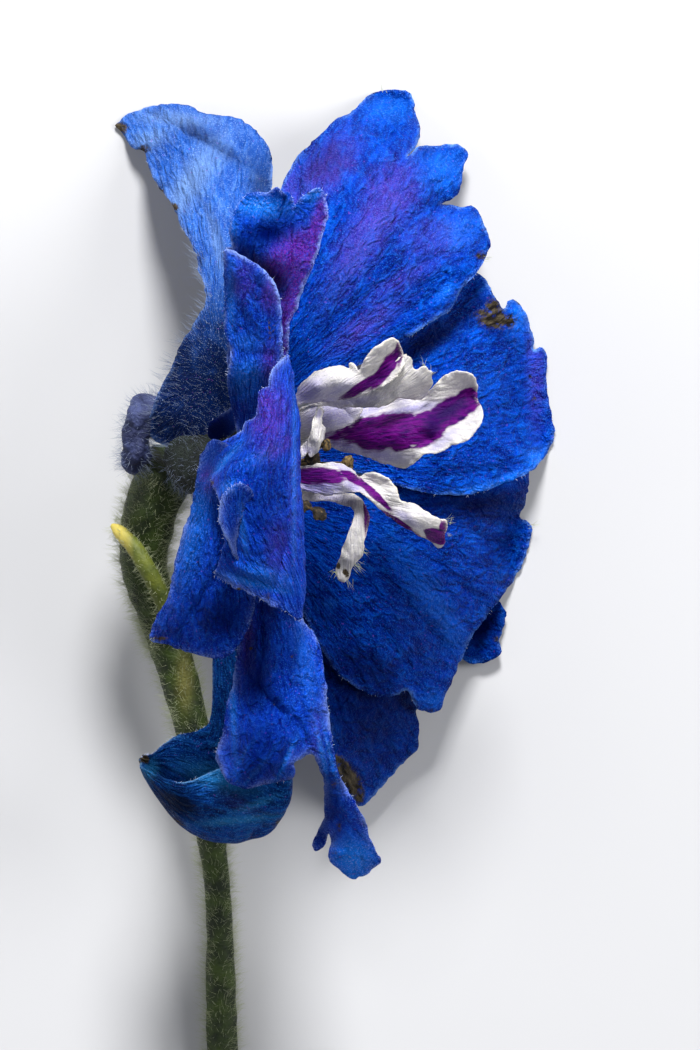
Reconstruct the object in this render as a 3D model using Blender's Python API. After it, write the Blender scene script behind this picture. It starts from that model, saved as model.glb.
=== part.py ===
"""One semi-double delphinium flower on its hairy stalk, lying on its side.

Lengths are in millimetres and are turned into metres when a mesh is made.
X points to the flower's open side, Y towards the upper sepals, Z up from
the surface that the flower lies on. Every outline is read from above.
"""
import math

import bpy
import numpy as np
from mathutils import Vector, noise
from mathutils.geometry import delaunay_2d_cdt

MM = 0.001

# The middle of the flower's box, as read from above before it is centred.
MIDDLE_X = -1.36
MIDDLE_Y = -5.43

BLADE = 0.68
PETAL_BLADE = 0.62
STEP = 1.45
FLAT_BELOW = 0.22

STALK_END_Y = -46.0
STALK_END_RADIUS = 1.2
STALK_TOP_RADIUS = 2.15

SEPAL_BLUE = (0.010, 0.045, 0.52, 1.0)
SEPAL_PALE = (0.08, 0.22, 0.70, 1.0)
BASE_GREY = (0.06, 0.09, 0.30, 1.0)
PETAL_WHITE = (0.86, 0.82, 0.84, 1.0)
STALK_GREEN = (0.10, 0.17, 0.03, 1.0)
BRACT_GREEN = (0.24, 0.28, 0.05, 1.0)
ANTHER_BROWN = (0.10, 0.06, 0.05, 1.0)


def clear_scene():
    """Removes the startup objects."""
    for obj in list(bpy.data.objects):
        bpy.data.objects.remove(obj, do_unlink=True)


def plain_material(name, colour, roughness):
    """A plain, non-metallic surface."""
    material = bpy.data.materials.new(name)
    material.use_nodes = True
    shader = material.node_tree.nodes["Principled BSDF"]
    shader.inputs["Base Color"].default_value = colour
    shader.inputs["Roughness"].default_value = roughness
    shader.inputs["Metallic"].default_value = 0.0
    material.diffuse_color = colour
    return material


def add_solid(name, points, faces, material):
    """An object from points in millimetres, centred on the flower's middle."""
    points = np.array(points, float)
    low = points[:, 2] < FLAT_BELOW
    points[low, 2] = 0.0
    points = (points - np.array([MIDDLE_X, MIDDLE_Y, 0.0])) * MM
    mesh = bpy.data.meshes.new(name)
    mesh.from_pydata([tuple(p) for p in points], [], [tuple(map(int, f)) for f in faces])
    mesh.validate()
    mesh.polygons.foreach_set("use_smooth", [True] * len(mesh.polygons))
    mesh.update()
    mesh.materials.append(material)
    obj = bpy.data.objects.new(name, mesh)
    bpy.context.scene.collection.objects.link(obj)
    return obj


def spline(points, params, closed=False):
    """Catmull-Rom curve through the points, at params counted in points."""
    points = np.array(points, float)
    count = len(points)
    params = np.asarray(params, float)
    base = np.floor(params).astype(int)
    if not closed:
        base = np.clip(base, 0, count - 2)
    u = (params - base)[:, None]

    def at(index):
        if closed:
            return points[index % count]
        inside = points[np.clip(index, 0, count - 1)]
        before = 2 * points[0] - points[1]
        after = 2 * points[-1] - points[-2]
        inside = np.where((index < 0)[:, None], before, inside)
        return np.where((index > count - 1)[:, None], after, inside)

    a, b, c, d = at(base - 1), at(base), at(base + 1), at(base + 2)
    return 0.5 * (
        2 * b
        + (c - a) * u
        + (2 * a - 5 * b + 4 * c - d) * u**2
        + (3 * b - a - 3 * c + d) * u**3
    )


def fine_outline(corners, step):
    """The closed outline, with long sides divided along a smooth curve."""
    corners = np.array(corners, float)
    params = []
    for i in range(len(corners)):
        length = np.linalg.norm(corners[(i + 1) % len(corners)] - corners[i])
        parts = max(1, round(length / step))
        params += [i + k / parts for k in range(parts)]
    return spline(corners, params, closed=True)


def inside_outline(xy, outline):
    """Which of the points lie inside the closed outline."""
    found = np.zeros(len(xy), bool)
    following = np.roll(outline, -1, axis=0)
    for (x0, y0), (x1, y1) in zip(outline, following):
        if y0 == y1:
            continue
        crosses = (y0 > xy[:, 1]) != (y1 > xy[:, 1])
        at_x = x0 + (xy[:, 1] - y0) * (x1 - x0) / (y1 - y0)
        found ^= crosses & (xy[:, 0] < at_x)
    return found


def thin_plate(known, stiffness=0.02):
    """A smooth height over the plane through the known (x, y, height)."""
    known = np.array(known, float)
    count = len(known)
    gaps = np.linalg.norm(known[:, None, :2] - known[None, :, :2], axis=2)
    kernel = gaps**2 * np.log(gaps + 1e-9) + stiffness * np.eye(count)
    flat = np.column_stack([np.ones(count), known[:, :2]])
    whole = np.block([[kernel, flat], [flat.T, np.zeros((3, 3))]])
    weights = np.linalg.solve(whole, np.concatenate([known[:, 2], np.zeros(3)]))

    def height(x, y):
        x, y = np.asarray(x, float), np.asarray(y, float)
        gap = np.hypot(x[..., None] - known[:, 0], y[..., None] - known[:, 1])
        bends = (gap**2 * np.log(gap + 1e-9)) @ weights[:count]
        return bends + weights[count] + weights[count + 1] * x + weights[count + 2] * y

    return height


def thickened(points, faces, thickness):
    """The surface made a closed blade, with both its faces split alike."""
    points = np.array(points, float)
    faces = np.array(faces, int)
    corner = points[faces]
    across = np.cross(corner[:, 1] - corner[:, 0], corner[:, 2] - corner[:, 0])
    normals = np.zeros_like(points)
    for k in range(3):
        np.add.at(normals, faces[:, k], across)
    normals /= np.linalg.norm(normals, axis=1)[:, None] + 1e-12
    count = len(points)
    both = np.concatenate([points + normals * thickness / 2, points - normals * thickness / 2])
    ends = np.concatenate([faces[:, [0, 1]], faces[:, [1, 2]], faces[:, [2, 0]]])
    known = {tuple(e) for e in ends}
    rim = [(a, b) for a, b in map(tuple, ends) if (b, a) not in known]
    sides = [(b, a, a + count) for a, b in rim] + [(b, a + count, b + count) for a, b in rim]
    return both, np.concatenate([faces, faces[:, ::-1] + count, np.array(sides)])


def sheet(outline, heights, step=STEP, wave=0.0, seed=1.0):
    """A surface over an outline. The wave lifts and drops it near its margin."""
    edge = fine_outline(outline, step)
    low, high = edge.min(axis=0), edge.max(axis=0)
    rows = []
    row = 0
    y = low[1]
    while y < high[1]:
        start = low[0] + (step / 2 if row % 2 else 0.0)
        rows += [(x, y) for x in np.arange(start, high[0], step)]
        y += step * 0.866
        row += 1
    grid = np.array(rows)
    grid = grid[inside_outline(grid, edge)]
    far = np.linalg.norm(grid[:, None] - edge[None], axis=2).min(axis=1) > 0.62 * step
    grid = grid[far]
    every = [Vector(p) for p in np.concatenate([edge, grid])]
    ring = list(range(len(edge)))
    sides = [(i, (i + 1) % len(edge)) for i in ring]
    verts, _, faces, _, _, _ = delaunay_2d_cdt(every, sides, [ring], 1, 1e-5)
    xy = np.array([tuple(v) for v in verts])
    z = thin_plate(heights)(xy[:, 0], xy[:, 1])
    if wave:
        near = np.linalg.norm(xy[:, None] - edge[None], axis=2).min(axis=1)
        swell = [noise.noise(Vector((px * 0.42, py * 0.42, seed))) for px, py in xy]
        z = z + wave * np.array(swell) * np.exp(-near / 2.2)
    z = np.maximum(z, BLADE / 2)
    return np.column_stack([xy, z]), np.array([tuple(f) for f in faces])


def patch(rows, along, across):
    """A smooth surface through rows of points, split into triangles."""
    rows = [np.array(r, float) for r in rows]
    widest = max(len(r) for r in rows)
    even = np.array([spline(r, np.linspace(0, len(r) - 1, widest)) for r in rows])
    down = [spline(even[:, k], np.linspace(0, len(rows) - 1, along)) for k in range(widest)]
    down = np.array(down)
    net = np.array(
        [spline(down[:, i], np.linspace(0, widest - 1, across)) for i in range(along)]
    )
    faces = []
    for i in range(along - 1):
        for j in range(across - 1):
            a, b = i * across + j, i * across + j + 1
            c, d = a + across, b + across
            if (i + j) % 2:
                faces += [(a, c, d), (a, d, b)]
            else:
                faces += [(a, c, b), (b, c, d)]
    return net.reshape(-1, 3), np.array(faces)


def tube(path, radii, sides, flatten=1.0, lumps=0.0, seed=0.0):
    """A closed round body along a path, its ends domed by their small radii."""
    path = np.array(path, float)
    radii = np.array(radii, float)
    ahead = np.gradient(path, axis=0)
    ahead /= np.linalg.norm(ahead, axis=1)[:, None]
    points = []
    for centre, direction, radius in zip(path, ahead, radii):
        first = np.cross(direction, (0.0, 0.0, 1.0))
        if np.linalg.norm(first) < 0.2:
            first = np.cross(direction, (0.0, 1.0, 0.0))
        first /= np.linalg.norm(first)
        second = np.cross(first, direction)
        for k in range(sides):
            turn = 2 * math.pi * k / sides
            out = first * math.cos(turn) + second * math.sin(turn) * flatten
            spot = centre + out * radius
            swell = noise.noise(Vector(spot * 0.7) + Vector((seed, 0, 0)))
            points.append(centre + out * radius * (1 + lumps * swell))
    rings = len(path)
    points += [path[0] - ahead[0] * radii[0] * 0.05, path[-1] + ahead[-1] * radii[-1] * 0.05]
    faces = []
    for i in range(rings - 1):
        for k in range(sides):
            a, b = i * sides + k, i * sides + (k + 1) % sides
            faces += [(a, a + sides, b), (b, a + sides, b + sides)]
    start, end = rings * sides, rings * sides + 1
    for k in range(sides):
        follow = (k + 1) % sides
        faces.append((start, k, follow))
        faces.append((end, (rings - 1) * sides + follow, (rings - 1) * sides + k))
    return np.array(points), np.array(faces)


def facing_out(points, faces):
    """The faces turned so that the closed body faces outwards."""
    corner = points[faces]
    volume = np.einsum("ij,ij->i", corner[:, 0], np.cross(corner[:, 1], corner[:, 2])).sum()
    return faces if volume > 0 else faces[:, ::-1]


def blade(name, surface, material, thickness=BLADE):
    points, faces = thickened(*surface, thickness)
    return add_solid(name, points, facing_out(points, faces), material)


def body(name, shape, material):
    points, faces = shape
    return add_solid(name, points, facing_out(points, faces), material)


def join(name, parts):
    """One solid from several that overlap."""
    first, others = parts[0], parts[1:]
    group = bpy.data.collections.new(name + "_parts")
    for other in others:
        group.objects.link(other)
    union = first.modifiers.new("Join", "BOOLEAN")
    union.operation = "UNION"
    union.operand_type = "COLLECTION"
    union.collection = group
    union.solver = "MANIFOLD"
    bpy.context.view_layer.update()
    graph = bpy.context.evaluated_depsgraph_get()
    mesh = bpy.data.meshes.new_from_object(first.evaluated_get(graph))
    first.modifiers.clear()
    first.data = mesh
    first.name = name
    for other in others:
        bpy.data.objects.remove(other, do_unlink=True)
    bpy.data.collections.remove(group)
    return first


def smooth_path(points, count):
    return spline(points, np.linspace(0, len(points) - 1, count))


# Sepals on the far side, each over the next: B, C, E, then G and F.

UPPER_SEPAL = [
    (-5.5, 27), (-4.7, 28.8), (-4, 29.8), (-3, 30.7), (-2, 31.7), (-1, 32.7), (0, 33.1),
    (0.9, 34), (1.5, 34.6), (2.5, 35), (3.8, 35.1), (4.7, 34.9), (5.1, 34.2), (5.3, 33),
    (5.6, 32.2), (5.6, 31.2), (5.3, 30.5), (4.6, 29.6), (5.6, 30.4), (7, 30.5), (8.6, 30.6),
    (9.5, 29.8), (9.2, 29), (9, 28), (8.8, 27), (8.2, 26.2), (7.3, 25.8), (8, 25.7),
    (8.8, 25.5), (9.7, 25.7), (10.4, 25), (10.9, 23.8), (11.3, 22.6), (10.8, 21.4),
    (10.4, 20.5), (9.5, 19.5), (8.9, 18.8), (8.2, 17.5), (7, 16.6), (4, 14.6), (0, 12.4),
    (-4, 9.8), (-7.5, 8.5), (-9.3, 8.4), (-9.8, 9.4), (-7.8, 10.9), (-6.4, 13), (-6.1, 17),
    (-6.1, 21), (-5.9, 24.5),
]
UPPER_HEIGHTS = [
    (-9.6, 8.9, 16.2), (-7.0, 9.8, 16.5), (-4, 12, 16.2), (0, 13, 14.6), (4, 15.6, 12.2),
    (-5.8, 19, 16), (-1, 19, 15.2), (8, 17.8, 9.0), (10.8, 21.5, 6.4), (4, 21, 11.8),
    (-5.4, 27, 9.5), (-1, 27, 11.2), (4, 27, 8.4), (8.5, 25.5, 5.0), (8.6, 29.8, 2.2),
    (5.4, 31.5, 3.0), (1.5, 34.4, 0.8), (3.8, 35, -1.1), (-2, 31.6, 5.6),
]

RIGHT_SEPAL = [
    (9.2, 19.0), (11.2, 19.2), (11.5, 18.7), (12.1, 17.7), (12.8, 18.3), (13.5, 18),
    (14.1, 17.2), (14.5, 16.2), (14.8, 15), (14.8, 14.2), (15.5, 14.3), (15.9, 13.5),
    (15.8, 12), (16, 10), (16.3, 8.5), (16.5, 7.6), (16.2, 6.5), (15.7, 5.5), (15, 4.7),
    (14, 4), (12, 3.2), (10, 2.5), (8, 2.4), (6, 2.6), (4, 3.1), (2, 3.8), (-2, 4.6),
    (-6, 5.2), (-8.0, 5.4), (-8.1, 6.7), (-6, 7.6), (-2, 9.6), (2, 12.2), (6, 15.4),
]
RIGHT_HEIGHTS = [
    (-8.0, 6.1, 14.2), (-5, 6.4, 14.3), (-2, 7, 14.2), (2, 4.2, 12.0), (2, 8, 12.6),
    (2, 11.8, 12.0), (7, 3, 9.4), (7, 8.5, 9.2), (6.5, 14.6, 8.2), (12, 3.5, 5.4),
    (12, 9, 4.6), (10, 16, 5.2), (14.8, 5, 2.6), (16.3, 8, -2.4), (15.6, 13, -1.4),
    (13.6, 17.4, 1.6), (11.4, 18.6, 3.0),
]

LOWER_RIGHT_SEPAL = [
    (14.0, 5.6), (14.4, 3.8), (14.1, 2), (13.6, 0.7), (14.2, 0.4), (14.7, -0.4),
    (14.4, -1.5), (14, -3), (13.3, -4.2), (12, -6), (11, -7.3), (10, -8.6), (9, -10.6),
    (8.4, -12), (7.6, -13.8), (7.2, -14.8), (6.2, -15), (5.3, -14.6), (4.6, -13.3),
    (3, -13.8), (1, -13.3), (-1, -11.8), (-2.6, -9.4), (-4.2, -6), (-6, -2.4), (-8.4, 0.8),
    (-10.5, 2.9), (-10.0, 4.1), (-7.5, 3.6), (-4, 3.2), (0, 3.4), (4, 4.2), (8, 5.2),
    (11, 6.2), (13, 6.6),
]
LOWER_RIGHT_HEIGHTS = [
    (-10.2, 3.4, 12.6), (-7, 1.8, 12.6), (-4, -2, 12.6), (-3.6, 2.6, 12.2), (0, 3, 10.8),
    (0, -4, 12), (5, 4, 8.4), (4, -3, 10.4), (0, -11, 11), (4, -9, 9.4), (10, 5.8, 4.4),
    (9, -1, 6.6), (13.6, 6, 1.6), (13.8, 2, 1.4), (14.6, -0.6, -2.2), (12.8, -4.6, 0.8),
    (8, -7, 6.0), (9.6, -9.4, 3.4), (7, -14.4, 4.2), (4, -13.2, 7.4),
]

LOWER_SEPAL = [
    (7.0, -12.5), (6.6, -14.2), (5.3, -14.8), (5.5, -16), (5.5, -17.8), (5.2, -18.3),
    (4.4, -19), (3.3, -20.2), (2, -21.7), (1, -22.6), (0.9, -22), (0.9, -20.8), (0.2, -19.8),
    (-1.2, -18.9), (-1.5, -17), (-2.0, -14), (-3.4, -10.5), (-5.4, -6.5), (-7.8, -2.6),
    (-10.4, 0.9), (-11.8, 2.4), (-11.2, 3.3), (-9.4, 1.8), (-6.5, -1), (-3, -4),
    (1, -7), (4.5, -9.6),
]
LOWER_HEIGHTS = [
    (-11.6, 2.8, 11.8), (-8, -0.8, 10.9), (-4, -6, 10.4), (-2, -5, 10.2), (0, -10, 8.9),
    (-1.6, -14, 9.2), (4.4, -10, 6.3), (2.5, -15, 5.9), (5.6, -15, 2.7), (-0.8, -19, 7.0),
    (5.3, -18, 1.5), (1, -22.4, 1.8), (2.4, -18.5, 4.0),
]

BACK_SEPAL = [
    (9.6, -5.2), (11.2, -5.9), (11.9, -6.1), (12.4, -6.6), (12.6, -7.3), (12.3, -8.5),
    (12, -9.3), (12.2, -10.2), (11.5, -10.8), (10.2, -11.2), (9.3, -11), (7.9, -9.6),
    (5.5, -7.2), (2, -4.8), (-2, -2.4), (-6.5, 0.4), (-10.6, 3.7), (-10.6, 4.7),
    (-6, 2.4), (-2, 0.2), (2, -1.6), (6, -3.4),
]
BACK_HEIGHTS = [
    (-10.6, 4.2, 11.9), (-6, 1.4, 10.4), (-2, -1.2, 9.6), (2, -3.2, 7.4), (6, -5.2, 4.5),
    (9.6, -5.4, 2.0), (8.2, -9, 2.2), (12.2, -7, 0.6), (11.6, -10, 0.9), (9.6, -10.8, 0.9),
    (10.6, -8, 0.5),
]

# The spurred sepal behind: hairy at its base, its tip bent back to the surface.

SPURRED_SEPAL = [
    (-18.9, 32.2), (-17.8, 33.1), (-16, 33.7), (-13.6, 33.9), (-12, 33.2), (-10.5, 32.9),
    (-9, 32.7), (-8, 32), (-7, 31), (-6.4, 30), (-6.2, 28.8), (-6.3, 27), (-6.9, 24),
    (-7.4, 20), (-7.9, 16), (-8.6, 12.5), (-9.8, 10), (-11.4, 8.0), (-13.6, 7.3),
    (-16, 7.8), (-15.5, 9), (-14.8, 11), (-14.3, 12.4), (-13.6, 14.2), (-12.5, 16),
    (-11.6, 17.6), (-11.6, 19), (-12, 20), (-12.3, 21.5), (-13, 23), (-13.7, 24.2),
    (-14, 25.2), (-14.7, 26.3), (-15.3, 27), (-15.9, 28), (-16.3, 29), (-16.5, 30),
    (-17.5, 30.4), (-18.4, 31.6),
]
SPURRED_HEIGHTS = [
    (-15.6, 8.2, 16.2), (-13, 9, 18.4), (-10.4, 10, 18.6), (-14.3, 12.4, 16.6),
    (-11.5, 13.5, 18.8), (-8.4, 14, 18.0), (-11.6, 18.2, 16.6), (-8, 19, 16.4),
    (-12.6, 22.4, 11.8), (-8, 23, 12.2), (-14.8, 26.4, 6.8), (-10.5, 27, 8.6),
    (-6.4, 27, 7.4), (-12, 31, 5.2), (-7, 31, 4.8), (-12.5, 33.4, 3.0), (-15.8, 33.4, 1.0),
    (-16.4, 30, 2.6), (-18.7, 32.1, -0.9),
]

# Sepals on the near side, turned back so that their inner face is up.

FRONT_UPPER_SEPAL = [
    (-9.9, 21.7), (-9.3, 22.1), (-9.5, 23.0), (-9.5, 23.9), (-9.2, 25), (-8.3, 26.1), (-7.8, 26.4),
    (-6.5, 26.4), (-6, 26.8), (-5.3, 26.5), (-4.7, 26.2), (-4.4, 25.3), (-3.9, 26),
    (-3, 26.6), (-2.2, 26.6), (-1.8, 25.5), (-1.9, 24), (-2.3, 22.5), (-3, 20.5),
    (-3.8, 18.5), (-4.3, 17), (-4.8, 16), (-5, 13.2), (-5.8, 11.4), (-7.2, 9.2),
    (-9.2, 7.4), (-11.0, 6.8), (-11.3, 8.0), (-10.0, 9.0), (-9.3, 9.8), (-9.7, 11.5), (-9.8, 14),
    (-9.9, 18),
]
FRONT_UPPER_HEIGHTS = [
    (-11.1, 7.4, 20.1), (-9, 8.8, 22.8), (-7, 10.6, 25.2), (-9.7, 12, 25.4), (-5.4, 13.4, 27.4),
    (-9.8, 16, 25.8), (-7.2, 16, 26.2), (-4.8, 16.4, 28.4), (-9.9, 21, 25.4),
    (-7, 19, 25.6), (-3.4, 19.6, 30.0), (-8.9, 22.4, 28.6), (-6, 21.2, 29.2),
    (-2.2, 23.2, 31.0), (-6, 24, 28.0), (-9.3, 24.8, 29.6), (-6, 26.6, 30.4),
    (-2.4, 26.4, 31.2), (-4.4, 25.2, 29.4),
]

FRONT_FOLD = [
    [(-11.5, 6.0, 20.3), (-11.5, 5.1, 20.4), (-11.5, 4.2, 20.3)],
    [(-8.2, 7.2, 23.0), (-8.0, 5.0, 23.3), (-8.0, 2.6, 23.0)],
    [(-5.9, 9.6, 25.6), (-5.5, 7, 25.8), (-5.3, 4, 26), (-5.2, 1, 25.8), (-5.2, -2.6, 25.4)],
    [(-5.0, 13.3, 28.0), (-4.4, 9.5, 28.8), (-4.0, 4, 29.4), (-3.8, -1, 29.0), (-3.7, -7.3, 28.2)],
    [(-6.2, 12.2, 30.2), (-5.8, 8, 31.3), (-5.6, 3, 31.9), (-5.5, -1, 31.4), (-5.7, -6.7, 30.2)],
    [(-7.5, 9.8, 31.2), (-7.5, 6.5, 32.6), (-7.5, 2.4, 33.2), (-7.4, -2, 32.8), (-7.6, -5.6, 31.2)],
    [(-9.5, 8.0, 30.6), (-9.5, 5.4, 31.8), (-9.3, 2.6, 33.6), (-9.0, -1.0, 32.4), (-9.3, -4.9, 30.8)],
    [(-11.6, 6.0, 28.8), (-11.2, 4.2, 29.8), (-10.3, 1.6, 32.4), (-9.9, -0.9, 31.6), (-10.8, -4.1, 30.2)],
]

FRONT_LEFT = [
    (-10.6, 6.8), (-11.7, 5.8), (-12, 4.8), (-12.2, 3.5), (-12.5, 2), (-12.8, 0.5),
    (-13.2, -0.2), (-13.5, -1.5), (-13.8, -2.6), (-14.2, -4.5), (-14.6, -6), (-15.3, -7.2),
    (-15.8, -8.2), (-15.8, -9.2), (-14.4, -9.5), (-13.5, -9.9), (-12, -10.3),
    (-10.5, -10.6), (-9.4, -10.2), (-8.0, -8.0), (-7.4, -5), (-7.5, -1), (-8.2, 3),
    (-8.8, 5.4),
]
FRONT_LEFT_HEIGHTS = [
    (-11.4, 5.6, 28.9), (-9.2, 5, 31.6), (-12.2, 3.4, 28.6), (-9.6, 3.4, 31.0),
    (-12.6, 1, 28.0), (-10.2, 1.2, 29.2), (-8, 1, 29.8), (-13.6, -2.4, 26.8),
    (-10, -2, 29.4), (-7.8, -3, 28.8), (-14.6, -6, 25.2), (-11, -6, 28.2), (-8, -7, 27.4),
    (-15.6, -8.6, 23.2), (-13, -9, 25.6), (-10, -9.8, 26.2),
]

FRONT_LOWER_SEPAL = [
    (-7.6, -5.0), (-8.3, -6.5), (-8.9, -8), (-9, -10), (-9.3, -12.5), (-9.8, -14.5),
    (-10.1, -16.5), (-10.6, -18.3), (-10.2, -19.6), (-9.5, -20.6), (-8, -20.9), (-7, -20.6),
    (-5.6, -20.4), (-4.5, -20), (-4.5, -19), (-4.0, -18.6), (-3, -18.3), (-2.5, -19.3),
    (-2.1, -20.4), (-2.1, -21.5), (-2.1, -23.3), (-2.9, -25.2), (-2.9, -26), (-2.2, -25.8),
    (-1.7, -24.6), (-1.5, -25.4), (-1.7, -26.7), (-0.8, -27.6), (0.2, -28.3), (1.5, -27.7),
    (2.5, -26.8), (2.1, -26), (1.6, -25), (1.2, -23.5), (0.5, -22.3), (-0.5, -20.7),
    (-1.0, -19.4), (-1.2, -18.3), (-1.5, -16.6), (-1.8, -14.5), (-1.9, -13), (-2.1, -11.5),
    (-2.4, -9.8), (-3, -8.5), (-3.8, -7.5), (-5.0, -4.6), (-6.6, -1), (-8.6, 1.8), (-10.0, 2.9),
    (-10.9, 2.0), (-9.6, -0.6), (-8.2, -3),
]
FRONT_LOWER_HEIGHTS = [
    (-10.4, 2.6, 19.4), (-8, -1, 21.6), (-6, -4, 23.4), (-8.2, -6.5, 23.0),
    (-5.6, -7, 24.6), (-3.6, -7.8, 23.4), (-8.9, -11, 23.2), (-6, -12, 25.6),
    (-2.2, -11, 23.6), (-9.8, -15.4, 23.6), (-6, -15, 25.2), (-3.4, -15, 24.6),
    (-1.7, -15.4, 22.8), (-10.4, -18.6, 23.8), (-7.5, -18.5, 26.0), (-5, -19, 25.0),
    (-9, -20.6, 25.0), (-3, -18.4, 23.2), (-1.3, -19, 21.4), (-2.2, -22, 18.6),
    (-0.2, -22.6, 19.4), (-2.8, -25.8, 15.6), (-1.2, -26.6, 16.4), (0.3, -28, 14.8),
    (2.2, -26.6, 15.6), (1.0, -24.2, 18.0),
]

SCOOP = [
    [(-11.6, 1.9, 15.6), (-11.0, 1.7, 15.8), (-10.4, 1.5, 15.9)],
    [(-11.2, -4.5, 14.8), (-10.0, -4.8, 15.4), (-8.4, -4.6, 16.4)],
    [(-11.0, -10.5, 14.0), (-9.0, -11.6, 14.6), (-6.6, -11.0, 16.6)],
    [(-11.1, -15.2, 13.4), (-9.2, -20.4, 13.8), (-6.4, -22.8, 17.2), (-5.0, -21.6, 19.8), (-4.6, -19.6, 21.4)],
    [(-11.9, -16.3, 13.2), (-10.6, -21.6, 13.6), (-8.6, -25.1, 17.0), (-7.2, -22.6, 20.6), (-7.4, -19.4, 21.4)],
    [(-13.6, -16.8, 13.4), (-12.8, -20.8, 13.8), (-11.4, -25.0, 17.0), (-10.6, -22.4, 20.4), (-10.4, -19.4, 21.0)],
    [(-14.8, -17.4, 14.0), (-14.4, -20.2, 14.4), (-13.6, -23.7, 17.0), (-13.2, -22.2, 19.4), (-13.0, -20.5, 20.2)],
    [(-15.8, -18.3, 15.2), (-16.0, -19.4, 15.4), (-15.5, -21.3, 17.0), (-15.3, -20.8, 18.4), (-15.2, -20.1, 19.0)],
    [(-16.5, -18.4, 16.4), (-16.8, -18.7, 16.5), (-16.7, -19.2, 17.0), (-16.5, -19.4, 17.5), (-16.4, -19.5, 17.8)],
]

# The white inner petals, one above the other.

PETAL_TOP = [
    (-4.4, 10.2), (-3.7, 11.2), (-3, 12), (-2, 12.5), (-1, 12.7), (0.2, 12.9), (0.7, 12.4), (1.3, 13.2),
    (2, 14), (2.8, 14.7), (3.5, 14.9), (4.1, 14.5), (4.1, 13.5), (3.9, 12.4), (3.0, 11.6), (2, 10.8),
    (0.8, 10.1), (-1, 9.8), (-4.3, 9.5), (-6.4, 8.2), (-8.5, 6.7), (-8.8, 7.5), (-6.6, 9.3),
]
PETAL_TOP_HEIGHTS = [
    (-8.7, 7.1, 19.4), (-4.4, 9.8, 23.4), (-3, 11.6, 24.2), (-2, 10.2, 24.8), (0.4, 12.6, 24.8),
    (1, 10.6, 25.8), (2.2, 13.8, 25.4), (3.8, 14.6, 25.6), (3.6, 12.4, 26.4),
]
PETAL_TOP_BACK = [
    (0.6, 11.6), (2, 12.4), (3.2, 13.2), (4.5, 13.5), (5, 12.8), (4.8, 12.3), (6.2, 12.6),
    (6.6, 11.8), (6.2, 10.9), (5, 10.5), (3.6, 10.3), (2.6, 9.7), (1, 9.3), (-2, 8.5),
    (-5.5, 7.1), (-7.9, 6.1), (-8.2, 6.6), (-5.6, 8.1), (-2.4, 10.0),
]
PETAL_TOP_BACK_HEIGHTS = [
    (-8.0, 6.35, 18.4), (-4, 8.4, 20.0), (-1, 9.8, 21.6), (2, 11.6, 22.6), (4.6, 13.2, 23.2),
    (6.4, 11.9, 22.8), (4.6, 10.8, 23.4), (2, 9.8, 22.6),
]
PETAL_MIDDLE = [
    (-2, 8.6), (1, 9.0), (2.4, 9.3), (3.6, 10.0), (5.0, 10.4), (6.2, 10.9), (6.7, 11.7),
    (7.5, 12.1), (9.2, 12.3), (9.9, 11.8), (10.2, 11.2), (10, 10.2), (10.6, 9), (10.4, 8),
    (9.8, 7), (9, 6.4), (7.5, 6), (6.9, 5.6), (5, 5), (4.2, 4.5), (3.2, 4.6), (2, 5.1),
    (-1.8, 5.9), (-5, 5.3), (-7.0, 4.9), (-7.1, 5.5), (-5, 6.8),
]
PETAL_MIDDLE_HEIGHTS = [
    (-7.0, 5.2, 17.2), (-4.6, 6.2, 18.4), (-1.8, 7.4, 19.4), (2, 7.2, 21.2), (2, 5.4, 20.0),
    (2, 9.0, 20.4), (6, 8.2, 22.6), (6.4, 5.4, 20.8), (7, 11.8, 20.6), (10, 9.8, 21.6),
    (9.8, 7, 20.4), (9.6, 12, 20.2), (4.2, 4.7, 19.4),
]
PETAL_LOWER = [
    (-4, 4.8), (-2, 4.7), (-0.5, 4.4), (0.5, 4), (2.2, 3.9), (3, 3.5), (3.7, 2.9), (4.2, 2),
    (5, 1.7), (5.9, 1.5), (7, 0.6), (7.8, 0.4), (7.8, -0.2), (7.3, -1.8), (6.5, -1.3), (5.8, -0.8), (4.6, -0.6),
    (3.6, -0.1), (2.6, 0.9), (1.6, 1.5), (0.8, 2.3), (-1.6, 2.4), (-4, 2.5), (-6.2, 3.0), (-8.5, 3.7),
    (-8.4, 4.5), (-6.1, 4.7),
]
PETAL_LOWER_HEIGHTS = [
    (-8.6, 4.1, 19.5), (-6.4, 3.9, 21.1), (-4, 3.6, 22.4), (-1, 3.4, 23.1), (1.8, 2.8, 22.8), (1.6, 1.8, 22.0),
    (2.6, 3.7, 21.6), (4.2, 0.8, 22.0), (4.2, 2.2, 21.4), (7, -0.4, 20.0), (7.6, 0.2, 19.6),
    (7.2, -1.6, 19.2),
]
PETAL_HANGING = [
    (-2.2, 1.6), (0.2, 1.1), (0.6, 0.7), (0.5, 0), (0, -1.2), (-0.7, -2.2), (-1.1, -3.5),
    (-1.1, -4.3), (-0.3, -4.5), (0.1, -3.9), (0.6, -3.2), (1.2, -1.6), (1.8, -0.9), (1.9, 0),
    (1.8, 1.0), (1.4, 1.8), (0.2, 2.2), (-2.2, 2.6), (-5, 2.9), (-7.9, 3.4), (-8.0, 2.7),
    (-5, 1.9),
]
PETAL_HANGING_HEIGHTS = [
    (-7.9, 3.1, 18.2), (-5, 2.4, 18.8), (-2.2, 2.1, 19.4), (0.4, 1.6, 20.1), (1.2, 1.2, 20.3),
    (1.2, -0.6, 20.6), (0.4, -2, 20.2), (-0.7, -4.2, 18.6),
]
STAMINODE = [
    (-3.5, 7), (-3.1, 8.1), (-2.6, 9.0), (-2.1, 8), (-2.5, 6.9), (-3.0, 6), (-3.3, 5.5),
    (-5.2, 5.4), (-8.0, 5.5), (-8.1, 6.0), (-5.4, 6.2),
]
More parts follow.
